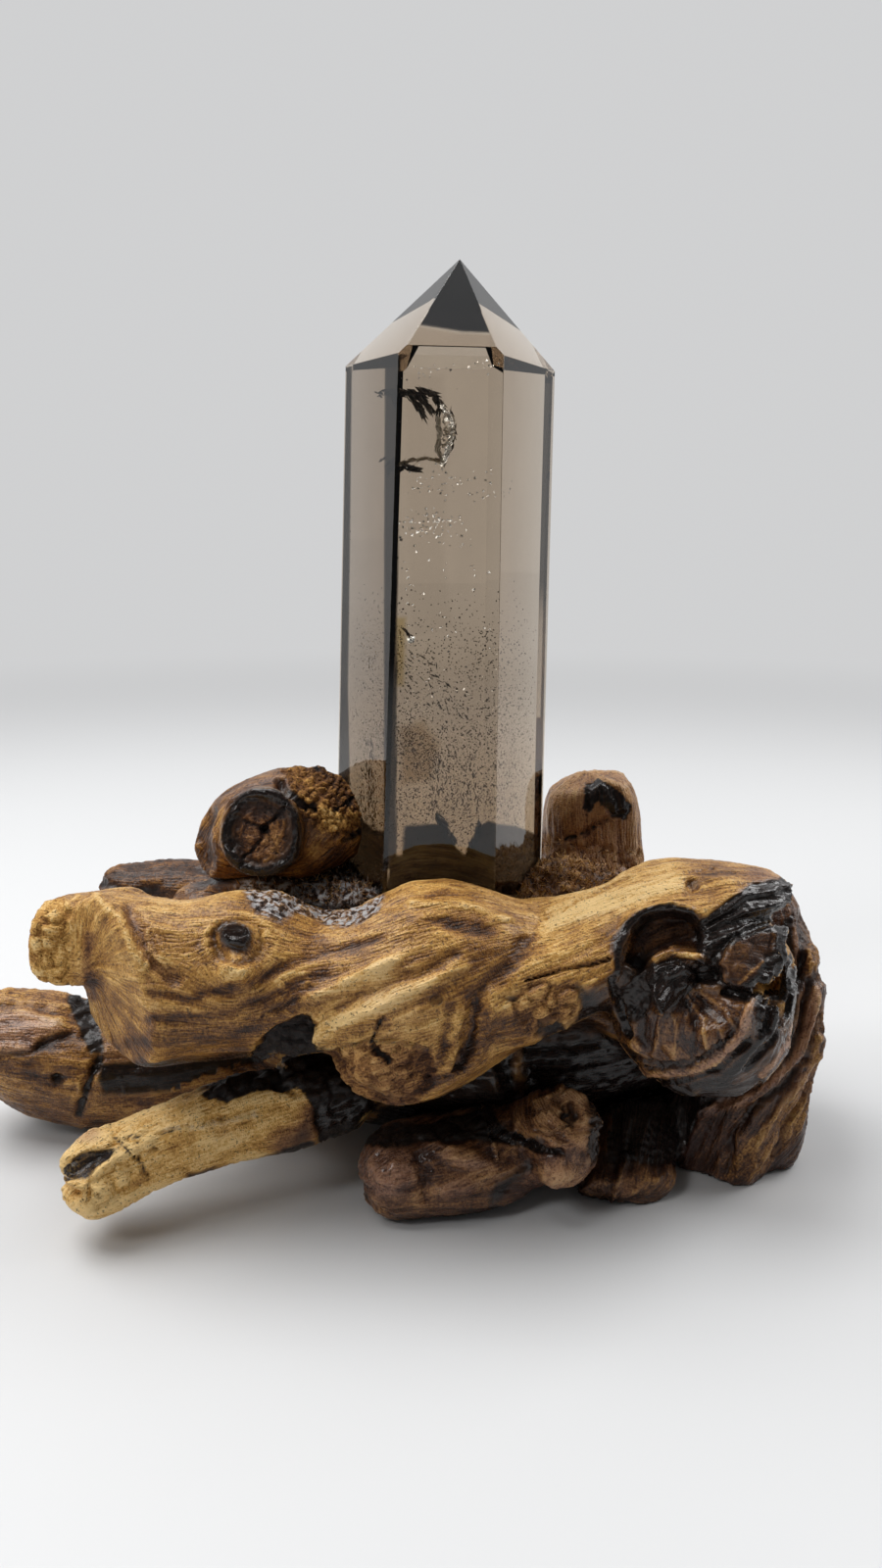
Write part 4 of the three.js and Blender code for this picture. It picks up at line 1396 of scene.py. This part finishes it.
def stoneFaces():
    solid, triangles = weldedSolid("quartz_tower")
    a, b, c = (solid[triangles[:, k]] for k in range(3))
    return unitRows(np.cross(b - a, c - a)), a


def stoneFace(side):
    # the outward direction of a named face and a corner on it
    facing, corner = stoneFaces()
    best = (facing @ np.array(stoneSides[side])).argmax()
    return facing[best], corner[best]


def facetPlane(first, second):
    # the plane that takes the edge between two faces off
    (one, cornerOne), (other, cornerOther) = stoneFace(first[0]), stoneFace(second[0])
    edge = np.cross(one, other)
    offsets = np.array([one @ cornerOne, other @ cornerOther])
    start = np.linalg.lstsq(np.array([one, other]), offsets, rcond=None)[0]
    alongOne, alongOther = np.cross(edge, one), np.cross(edge, other)
    alongOne *= -np.sign(alongOne @ other) / np.linalg.norm(alongOne)
    alongOther *= -np.sign(alongOther @ one) / np.linalg.norm(alongOther)
    normal = np.cross(edge, alongOther * second[1] - alongOne * first[1])
    outward = np.sign(normal @ (one + other))
    return start + alongOne * first[1], normal * outward / np.linalg.norm(normal)


def buildStone():
    spec = stoneFinish
    points, triangles = weldedSolid("quartz_tower")
    shape = bmesh.new()
    corners = [shape.verts.new(p) for p in points.tolist()]
    for triangle in triangles.tolist():
        shape.faces.new([corners[k] for k in triangle])
    flat = math.radians(spec["flatAngle"])
    bmesh.ops.dissolve_limit(shape, angle_limit=flat, verts=shape.verts[:], edges=shape.edges[:])
    for first, second in backFacets.values():
        place, normal = facetPlane(first, second)
        everything = shape.verts[:] + shape.edges[:] + shape.faces[:]
        cut = bmesh.ops.bisect_plane(shape, geom=everything, plane_co=place, plane_no=normal,
                                     clear_outer=True)
        rim = [item for item in cut["geom_cut"] if isinstance(item, bmesh.types.BMEdge)]
        bmesh.ops.contextual_create(shape, geom=rim)
    sharp = [edge for edge in shape.edges if edge.calc_face_angle(0) > math.radians(spec["sharpAngle"])]
    bmesh.ops.bevel(shape, geom=sharp, offset=spec["bevel"], segments=spec["bevelSteps"], affect="EDGES",
                    profile=0.5)
    bmesh.ops.recalc_face_normals(shape, faces=shape.faces[:])
    shape.verts.index_update()
    places = np.array([vertex.co[:] for vertex in shape.verts])
    faces = [[vertex.index for vertex in face.verts] for face in shape.faces]
    shape.free()
    piece = addPiece("towerCrystal", places, faces, smooth=False)
    piece.data.materials.append(buildSmokyQuartz())
    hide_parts("quartz_tower")


# Smoke just inside each face, laid on one thin sheet: outlines in the photo, with their tint. The sheets also
# carry painted shade and painted reflection: the dark tip, the dark strips along the edges and the dark base.

smokeAndShadeSheets = {
    "point": {
        # painted reflection of the dark room: the tip's front facets laid near-black
        "dark": patch(3, (468, 262), (452, 290), (419, 331), (470, 339), (514, 341), (490, 303),
            tint=(0.008, 0.008, 0.011)),
        "streaks": patch(6, (470, 300), (478, 300), (482, 338), (470, 338), tint=(0.7, 0.7, 0.7)),
        "tan": patch(3, (420, 333), (470, 341), (513, 343), (524, 356), (400, 356),
            tint=(0.80, 0.75, 0.69)),
    },
    "front": {
        "everywhere": {"fade": (0, 1), "tint": (0.95, 0.94, 0.915)},
        "lower": {"fade": (590, 850), "tint": (0.52, 0.43, 0.33)},
        "paleStep": patch(10, (413, 380), (452, 384), (458, 470), (452, 560), (462, 640), (420, 650),
            (416, 500), tint=(0.94, 0.935, 0.93)),
        "brownPatch": patch(14, (408, 742), (432, 736), (448, 760), (440, 796), (410, 800),
            tint=(0.72, 0.62, 0.48)),
        "yellowPatch": patch(6, (404, 630), (414, 630), (412, 700), (404, 700), tint=(0.84, 0.76, 0.52)),
        "cornerLeft": patch(3, (400, 358), (420, 358), (409, 370), (404, 376), tint=(0.30, 0.28, 0.28)),
        "cornerRight": patch(3, (514, 356), (530, 356), (527, 386), (519, 372), tint=(0.30, 0.28, 0.28)),
        # painted shade and reflection: dark strips along the edges, where the sides are seen through the
        # stone
        "edgeStrip": patch(1.5, (390, 362), (408.5, 362), (406, 560), (404.5, 760), (404.5, 886),
            (390, 886), tint=(0.12, 0.11, 0.105)),
        "rightPanel": patch(3, (517, 378), (526, 378), (522, 640), (517, 848), (509, 848), (513, 640),
            tint=(0.80, 0.75, 0.72)),
        "baseShade": patch(2, (400, 873), (411, 873), (413, 842), (452, 841), (458, 852), (464, 864),
            (474, 872), (481, 862), (486, 846), (497, 838), (512, 840), (530, 930), (390, 930),
            tint=(0.03, 0.025, 0.022)),
    },
    "left": {
        "everywhere": {"fade": (0, 1), "tint": (0.72, 0.69, 0.66)},
        "lower": {"fade": (600, 850), "tint": (0.55, 0.46, 0.35)},
        # painted shade and reflection: dark strips along the edges, where the sides are seen through the
        # stone
        "farStrip": patch(1.5, (340, 370), (360, 370), (358, 560), (356, 700), (359, 860), (340, 860),
            tint=(0.06, 0.055, 0.05)),
        "innerStrip": patch(1.5, (394, 362), (412, 362), (410, 560), (404, 760), (402, 880), (393, 880),
            (393, 560), tint=(0.07, 0.065, 0.06)),
        # painted shade: the dark base, where the wood below is seen through the stone
        "base": patch(2, (340, 822), (368, 834), (382, 846), (402, 850), (406, 930), (340, 930),
            tint=(0.10, 0.085, 0.07)),
    },
    "right": {
        "everywhere": {"fade": (0, 1), "tint": (1.0, 0.985, 0.96)},
        "lower": {"fade": (640, 850), "tint": (0.62, 0.53, 0.42)},
        "cornerShade": patch(3, (524, 360), (562, 372), (562, 380), (540, 374), (526, 372),
            tint=(0.4, 0.38, 0.37)),
        # painted shade: the dark base, where the wood below is seen through the stone
        "base": patch(2, (500, 840), (526, 843), (548, 852), (566, 850), (566, 930), (500, 930),
            tint=(0.10, 0.085, 0.07)),
    },
}

sheetShape = {
    "deep": 0.5,  # mm below the face
    "inset": 0.35,  # mm from the face's edges
    "thick": 0.12,
    "cell": 0.62,
    "onFace": 0.05,  # mm off the face's plane, for its corners
    "cornerRise": 3.0,  # mm in height within which corners count as one end
    "tip": (2.5, 0.1),  # insets below a pointed top, and mm to each side of it
    "mottle": 0.10,
    "panels": (7, 0.12),  # mm across, and how much they are drawn out upward
    "clouds": (9, 0.6),  # mm across, and strength
}


def sheetCorners(side):
    # the corners of a face, seen from outside: low left, low right, high right, high left
    spec = sheetShape
    normal, corner = stoneFace(side)
    solid, _ = weldedSolid("quartz_tower")
    rim = solid[np.abs((solid - corner) @ normal) < spec["onFace"]]
    across = np.cross((0, 0, 1), normal)
    across /= np.linalg.norm(across)
    low = rim[rim[:, 2] < rim[:, 2].min() + spec["cornerRise"]]
    high = rim[rim[:, 2] > rim[:, 2].max() - spec["cornerRise"]]
    lowLeft, lowRight = low[(low @ across).argmin()], low[(low @ across).argmax()]
    highLeft, highRight = high[(high @ across).argmin()], high[(high @ across).argmax()]
    up = highLeft + highRight - lowLeft - lowRight
    up /= np.linalg.norm(up)
    inset = spec["inset"]
    corners = [lowLeft + inset * (across + up), lowRight + inset * (up - across)]
    if np.linalg.norm(highRight - highLeft) > 3 * inset:
        corners += [highRight - inset * (across + up), highLeft + inset * (across - up)]
    else:
        below, aside = spec["tip"]
        down = below * inset * up
        corners += [highRight - down + aside * across, highLeft - down - aside * across]
    return np.array(corners) - normal * spec["deep"], normal


def smokeAndShadeTint(points, marks):
    u, v, _ = photoPlace(points)
    tint = np.ones((len(points), 3))
    for mark in marks.values():
        mask = fadeBetween(v, *mark["fade"]) if "fade" in mark else maskOf(mark, u, v)
        tint *= 1 - mask[:, None] * (1 - np.array(mark["tint"]))
    size, drawn = sheetShape["panels"]
    panels = layeredNoise(points * np.array((1, 1, drawn)), size, 41)
    size, strength = sheetShape["clouds"]
    panels = panels + strength * layeredNoise(points, size, 42)
    return tint * (1 - sheetShape["mottle"] * (0.5 + 0.5 * panels))[:, None]


def smokeAndShadeSheet(side, marks):
    # a thin closed sheet of small quads just inside a face
    spec = sheetShape
    (a, b, c, d), normal = sheetCorners(side)
    columns = int(np.linalg.norm(b - a) / spec["cell"]) + 2
    rows = int(np.linalg.norm(d - a) / spec["cell"]) + 2
    grids = np.meshgrid(np.linspace(0, 1, columns), np.linspace(0, 1, rows))
    s, t = (grid.ravel()[:, None] for grid in grids)
    outer = a * (1 - s) * (1 - t) + b * s * (1 - t) + c * s * t + d * (1 - s) * t
    count = len(outer)
    index = np.arange(count).reshape(rows, columns)
    low, right = index[:-1, :-1].ravel(), index[:-1, 1:].ravel()
    high, left = index[1:, 1:].ravel(), index[1:, :-1].ravel()
    faces = [np.stack([low, right, high, left], 1), np.stack([left, high, right, low], 1) + count]
    rim = np.concatenate([index[0, :-1], index[:-1, -1], index[-1, :0:-1], index[:0:-1, 0]])
    after = np.roll(rim, -1)
    faces.append(np.stack([after, rim, rim + count, after + count], 1))
    points = np.concatenate([outer, outer - normal * spec["thick"]])
    return points, np.concatenate(faces), np.tile(smokeAndShadeTint(outer, marks), (2, 1))


def buildSmokeAndShadeSheets():
    sheets = [smokeAndShadeSheet(side, marks) for side, marks in smokeAndShadeSheets.items()]
    points, faces = joinedSolids([sheet[:2] for sheet in sheets])
    tint = np.concatenate([sheet[2] for sheet in sheets])
    piece = addPiece("smokeAndShadeSheets", points, faces, {"tint": tint}, smooth=False)
    graph = newGraph("smokeAndShadeSheets")
    graph.surface(graph.principled({
        "Base Color": graph.attribute("tint", "Vector"),
        "Roughness": 0.0,
        "IOR": 1.0,
        "Transmission Weight": 1.0,
    }))
    piece.data.materials.append(graph.owner)
    print(f"smokeAndShadeSheets: {2 * len(faces)} triangles")


# What is enclosed in the crystal: small flakes along lines in the photo

darkWisp = (0.030, 0.023, 0.018)
# the pale flakes' colour is a painted glint: light caught in the crescent veil and in the flecks on the left
paintedGlint = (0.85, 0.80, 0.70)
whiteGlint = (0.98, 0.98, 0.97)
ironStain = (0.42, 0.30, 0.12)

flakeFinish = {
    "seed": 7,
    "margin": 1.0,  # mm inside the crystal's faces
    "highest": 16,  # pixels of spread up and down, at most
    "width": (0.4, 1.0),
    "along": 0.25,  # how loosely drawn-out flakes follow their line
    "lampSide": (-0.20, -0.93, 0.30),  # half way between the viewer and the left lamp, seen inside the stone
    "lampSpread": 0.07,
    "mirrorRange": (0.88, 0.96),  # how red a flake is that mirrors the light, so only white glints do
    "roughness": 0.25,
    "gritSize": 0.4,
    "gritShare": 0.3,
    "grit": (0.25, 0.2, 0.15, 1),
}


def trail(amount, spread, deep, size, flat, colour, *line, stretch=None, crowd=1, facing=False):
    # flakes along a line: how many, pixels to each side, mm behind the front face, mm across,
    # thickness as a share of that, colour, drawn out so many times, crowded toward the line's end,
    # and whether they face the lamp
    return {"amount": amount, "spread": spread, "deep": deep, "size": size, "flat": flat, "colour": colour,
            "line": line, "stretch": stretch, "crowd": crowd, "facing": facing}


def glint(amount, spread, deep, size, *line):
    # thin flakes that mirror the lamp
    return trail(amount, spread, deep, size, 0.03, whiteGlint, *line, facing=True)


enclosures = {
    "crescentOuter": trail(130, 1.2, (9, 11), (0.35, 0.9), 0.12, paintedGlint, (450, 414), (460, 428),
        (461, 442), (457, 460), (452, 474), stretch=2.2),
    "crescentShine": glint(110, 2.2, (6, 8.5), (0.35, 0.9), (449, 414), (459, 428), (461, 442), (457, 460),
        (452, 474)),
    "crescentInner": trail(80, 1.6, (9, 11), (0.3, 0.8), 0.12, paintedGlint, (446, 428), (449, 442),
        (446, 458), (451, 470), stretch=2.2),
    "crescentFill": trail(60, 4, (9, 13), (0.3, 0.8), 0.08, (0.80, 0.74, 0.64), (450, 420), (455, 440),
        (452, 466)),
    "crescentShade": trail(50, 1.0, (11, 13), (0.3, 0.7), 0.1, darkWisp, (459, 418), (464, 436), (460, 462),
        stretch=2.0),
    "lowerLine": trail(60, 1.0, (9, 11), (0.3, 0.7), 0.15, (0.5, 0.42, 0.3), (404, 476), (420, 471),
        (436, 468), (452, 472), stretch=2.4),
    "featherA": trail(70, 2.2, (8, 13), (0.4, 1.0), 0.2, darkWisp, (405, 401), (417, 405), (428, 418),
        (433, 427), stretch=2.6),
    "featherB": trail(60, 2.0, (8, 13), (0.4, 1.0), 0.2, darkWisp, (418, 402), (430, 407), (440, 420),
        stretch=2.6),
    "featherC": trail(60, 2.2, (8, 13), (0.4, 1.0), 0.2, darkWisp, (430, 400), (442, 404), (450, 415),
        (448, 422), stretch=2.6),
    "featherFaint": trail(40, 3, (8, 13), (0.3, 0.7), 0.2, (0.12, 0.10, 0.08), (374, 412), (384, 402),
        (398, 402), stretch=2.2),
    "flatDark": trail(60, 1.8, (6, 8), (0.5, 1.1), 0.25, (0.016, 0.013, 0.012), (404, 481), (414, 477),
        (425, 479), stretch=2.4),
    "flatSmear": trail(60, 2.6, (6, 9), (0.4, 1.0), 0.2, darkWisp, (374, 486), (382, 474), (393, 470),
        stretch=2.2),
    "smearTail": trail(36, 2.0, (5, 9), (0.3, 0.8), 0.2, (0.10, 0.08, 0.06), (376, 486), (372, 500),
        (375, 515), stretch=2.2),
    "glints": glint(120, 16, (1.2, 8), (0.2, 0.5), (400, 480), (470, 500), (560, 480)),
    "glintsLow": glint(120, 14, (1.2, 8), (0.2, 0.55), (398, 540), (440, 530), (470, 545)),
    "glintsTop": glint(40, 8, (1.2, 6), (0.2, 0.45), (398, 380), (430, 384), (470, 378), (516, 374)),
    "leftPaintedGlints": trail(90, 4, (20, 26), (0.2, 0.6), 0.3, paintedGlint, (352, 480), (358, 540), (356, 640)),
    "yellowHook": trail(150, 2.5, (8, 12), (0.25, 0.6), 0.25, ironStain, (374, 642), (379, 662), (377, 685),
        (369, 700), (369, 735), stretch=1.8),
    "yellowHaze": trail(170, 8, (5, 18), (0.15, 0.4), 0.4, ironStain, (372, 645), (384, 660), (378, 690)),
    "yellowStrip": trail(80, 3, (4, 9), (0.15, 0.4), 0.4, ironStain, (406, 640), (409, 660), (406, 690)),
    "blackNeedle": trail(12, 0.6, (3, 4), (0.4, 0.7), 0.4, (0.012, 0.010, 0.010), (412, 640), (419, 650),
        stretch=2.2),
    "sparkle": glint(10, 1.5, (1.2, 2), (0.6, 1.0), (418, 653), (420, 652)),
    "scattered": glint(220, 70, (1.0, 6), (0.2, 0.5), (430, 560), (440, 720), (470, 840)),
    "needles": trail(34, 16, (3, 16), (0.15, 0.45), 0.4, darkWisp, (410, 665), (440, 690), (470, 740),
        stretch=3.2),
    "brownHaze": trail(500, 14, (3, 14), (0.12, 0.38), 0.5, (0.16, 0.10, 0.05), (405, 745), (425, 760),
        (440, 785)),
    "brownHazeLeft": trail(140, 7, (8, 16), (0.12, 0.4), 0.5, (0.15, 0.09, 0.04), (362, 748), (375, 760),
        (386, 750)),
    "streaksLeft": trail(150, 7, (8, 16), (0.2, 0.5), 0.3, (0.05, 0.04, 0.03), (362, 765), (370, 800),
        (376, 842), stretch=3.4),
    "streaksInner": trail(150, 6, (6, 14), (0.2, 0.5), 0.3, (0.04, 0.03, 0.025), (378, 760), (384, 800),
        (386, 840), stretch=3.4),
    "streaksFront": trail(200, 26, (3, 12), (0.12, 0.36), 0.4, (0.06, 0.045, 0.035), (458, 770), (466, 800),
        (462, 835), stretch=3.0),
    "streaksRight": trail(150, 7, (6, 16), (0.3, 0.8), 0.2, (0.10, 0.08, 0.055), (540, 740), (544, 790),
        (538, 850), stretch=2.8),
    "rightStain": trail(220, 4, (14, 24), (0.2, 0.6), 0.35, (0.22, 0.16, 0.07), (553, 640), (552, 720),
        (549, 800), (547, 850)),
    "tear": trail(60, 3.5, (2, 5), (0.4, 1.0), 0.25, (0.015, 0.012, 0.010), (448, 832), (456, 846),
        (461, 862), stretch=2.2),
    "tearRight": trail(50, 3.5, (2, 5), (0.4, 1.0), 0.25, (0.015, 0.012, 0.010), (489, 836), (486, 852),
        (479, 870), stretch=2.2),
    "specks": trail(6500, 98, (1.2, 26), (0.12, 0.40), 0.6, (0.016, 0.011, 0.008), (458, 600), (458, 868),
        crowd=1.7),
    "chip": trail(14, 1.0, (15.6, 16.4), (0.3, 0.6), 0.3, (0.95, 0.95, 0.95), (452, 282), (456, 288)),
    "flecks": trail(500, 98, (2, 24), (0.2, 0.5), 0.4, (0.10, 0.07, 0.045), (458, 640), (458, 868),
        crowd=2.0),
    "dust": trail(1500, 100, (2, 40), (0.05, 0.13), 0.5, (0.9, 0.88, 0.82), (455, 380), (455, 850)),
}

def insideStone(points, margin):
    # whether points lie inside every face of the crystal by margin mm
    result = np.ones(len(points), bool)
    for normal, corner in zip(*stoneFaces()):
        result &= (points - corner) @ normal < -margin
    return result


def throughPixels(u, v, y):
    # where the sight lines of photo pixels cross upright planes that lie y mm away, in plan mm
    spec = photoCamera
    tilt = math.radians(spec["tilt"])
    across = (u - spec["width"] / 2) / spec["focalPixels"]
    down = (v - spec["height"] / 2) / spec["focalPixels"]
    away, up = math.cos(tilt) - down * math.sin(tilt), -math.sin(tilt) - down * math.cos(tilt)
    sight = np.stack([across, away, up], 1)
    place = np.array(spec["place"])
    return place + sight * ((y - place[1]) / sight[:, 1])[:, None]


def flakesOf(spec, dice):
    # centres inside the crystal, and the direction of the line at each
    line = np.array(spec["line"], float)
    runs = np.linalg.norm(np.diff(line, axis=0), axis=1)
    along = runs.sum() * dice.uniform(0, 1, spec["amount"]) ** (1 / spec["crowd"])
    ends = np.concatenate([[0], np.cumsum(runs)])
    run = np.clip(np.searchsorted(ends, along) - 1, 0, len(runs) - 1)
    heading = np.diff(line, axis=0)[run] / runs[run][:, None]
    wide, high = spec["spread"], min(spec["spread"], flakeFinish["highest"])
    u = np.interp(along, ends, line[:, 0]) + dice.uniform(-1, 1, len(along)) * wide
    v = np.interp(along, ends, line[:, 1]) + dice.uniform(-1, 1, len(along)) * high
    centres = throughPixels(u, v, stoneFront + dice.uniform(*spec["deep"], len(along)))
    kept = insideStone(centres, flakeFinish["margin"])
    return centres[kept], np.stack([heading[:, 0], 0 * heading[:, 0], -heading[:, 1]], 1)[kept]


def buildEnclosures():
    finish = flakeFinish
    dice = np.random.default_rng(finish["seed"])
    octahedron = np.array([(1, 0, 0), (-1, 0, 0), (0, 1, 0), (0, -1, 0), (0, 0, 1), (0, 0, -1)], float)
    sides = [(0, 2, 4), (2, 1, 4), (1, 3, 4), (3, 0, 4), (2, 0, 5), (1, 2, 5), (3, 1, 5), (0, 3, 5)]
    each = len(octahedron)
    corners, shades = [], []
    for spec in enclosures.values():
        for centre, heading in zip(*flakesOf(spec, dice)):
            size = dice.uniform(*spec["size"])
            turn = dice.normal(0, 1, (3, 3))
            if spec["stretch"]:
                turn[:, 0] = heading + dice.normal(0, finish["along"], 3)
            if spec["facing"]:
                turn[:, 0] = np.array(finish["lampSide"]) + dice.normal(0, finish["lampSpread"], 3)
            turn = np.linalg.qr(turn)[0]
            if spec["facing"]:
                turn = turn[:, [1, 2, 0]]
            if np.linalg.det(turn) < 0:
                turn[:, 2] *= -1
            long, wide = size * (spec["stretch"] or 1), size * dice.uniform(*finish["width"])
            corners += (octahedron * (long, wide, size * spec["flat"]) @ turn.T + centre).tolist()
            shades += [spec["colour"]] * each
    faces = copiedFaces(sides, each, len(corners))
    piece = addPiece("enclosedFlakes", np.array(corners), faces, {"shade": np.array(shades)}, smooth=False)
    graph = newGraph("enclosedFlakes")
    shade = graph.attribute("shade", "Vector")
    mirror = graph.range(graph.add("ShaderNodeSeparateXYZ", shade).outputs["X"], *finish["mirrorRange"])
    share = graph.math("MULTIPLY_ADD", mirror, -finish["gritShare"], finish["gritShare"])
    weight = graph.math("MULTIPLY", graph.noise(graph.place(), finish["gritSize"]), share)
    graph.surface(graph.principled({
        "Base Color": graph.blend(weight, shade, finish["grit"]),
        "Metallic": mirror,
        "Roughness": finish["roughness"],
    }))
    piece.data.materials.append(graph.owner)
    print(f"enclosedFlakes: {len(faces)} triangles")


# Floor, backdrop and light

studio = {
    "floorColour": (0.69, 0.695, 0.70, 1),
    "floorRoughness": 0.6,
    "floorReach": 3.0,
    "backdrop": 0.64,
    "backdropColour": (0.985, 0.99, 1.0, 1),
    "walls": 0.68,
    "room": 0.07,
    "roomFade": (-0.6, 0.6),  # as the room's direction turns from behind the viewer to behind the object
    "floorFade": (0.45, 1.3),  # metres out, where the floor turns into the backdrop
    "floorOpen": (-1.2, -0.5),  # metres along Y, from the darker room behind the viewer to the bright side
    "lights": {  # place, target, size and power
        "topSoftbox": ((-0.42, 0.12, 0.95), (0, -0.02, 0.05), (0.7, 0.8), 9.0),
        "rightSoftbox": ((0.75, 0.25, 0.75), (0, 0, 0.08), (0.5, 0.5), 4.5),
        "leftSoftbox": ((-0.60, -0.48, 0.80), (0, 0, 0.08), (0.24, 0.3), 1.8),
    },
}


def surroundings(graph, place, fade, bright):
    # how bright the room is at a place: darker behind the viewer than round the object
    y = graph.add("ShaderNodeSeparateXYZ", place).outputs["Y"]
    room = studio["room"]
    return graph.math("MULTIPLY_ADD", graph.range(y, *fade), bright - room, room)


def buildStage():
    mesh = bpy.data.meshes.new("paleFloor")
    reach = studio["floorReach"]
    corners = [(-reach, -reach, 0), (reach, -reach, 0), (reach, reach, 0), (-reach, reach, 0)]
    mesh.from_pydata(corners, [], [(0, 1, 2, 3)])
    floor = bpy.data.objects.new("paleFloor", mesh)
    bpy.context.scene.collection.objects.link(floor)
    graph = newGraph("paleFloor")
    place = graph.place()
    ground = graph.principled({"Base Color": studio["floorColour"], "Roughness": studio["floorRoughness"]})
    seen = graph.add("ShaderNodeLightPath").outputs["Is Camera Ray"]
    level = surroundings(graph, place, studio["floorOpen"], studio["backdrop"])
    level = graph.math("MAXIMUM", level, graph.math("MULTIPLY", seen, studio["backdrop"]))
    glow = graph.add("ShaderNodeEmission", studio["backdropColour"], level)
    far = graph.add("ShaderNodeVectorMath", place, operation="LENGTH").outputs["Value"]
    mix = graph.add("ShaderNodeMixShader", graph.range(far, *studio["floorFade"]), ground, glow.outputs[0])
    graph.surface(mix.outputs[0])
    mesh.materials.append(graph.owner)


def buildWorld():
    world = bpy.data.worlds.new("studio")
    bpy.context.scene.world = world
    graph = Graph(world, "ShaderNodeOutputWorld")
    seen = graph.add("ShaderNodeLightPath").outputs["Is Camera Ray"]
    level = surroundings(graph, graph.place("Generated"), studio["roomFade"], studio["walls"])
    mix = graph.feedAll(graph.add("ShaderNodeMix"), {0: seen, 2: level, 3: studio["backdrop"]})
    background = graph.add("ShaderNodeBackground", studio["backdropColour"], mix.outputs[0])
    graph.surface(background.outputs[0])


def buildLights():
    for name, (place, target, size, power) in studio["lights"].items():
        data = bpy.data.lights.new(name, "AREA")
        data.shape = "RECTANGLE"
        data.size, data.size_y = size
        data.energy = power
        light = bpy.data.objects.new(name, data)
        bpy.context.scene.collection.objects.link(light)
        light.location = place
        light.rotation_euler = (Vector(target) - Vector(place)).to_track_quat("-Z", "Y").to_euler()


print("camera")
buildCamera()
print("wood")
carveWood("goldenLimb", goldenLimb)
carveWood("knotArm", knotArm)
bodySurface = carveWood("rootBody", rootBody)
carveWood("frontFeet", frontFeet)
buildSplinters(*bodySurface)
print("stone")
buildStone()
buildSmokeAndShadeSheets()
buildEnclosures()
print("stage and light")
buildStage()
buildWorld()
buildLights()
bpy.context.scene.view_settings.view_transform = "Standard"
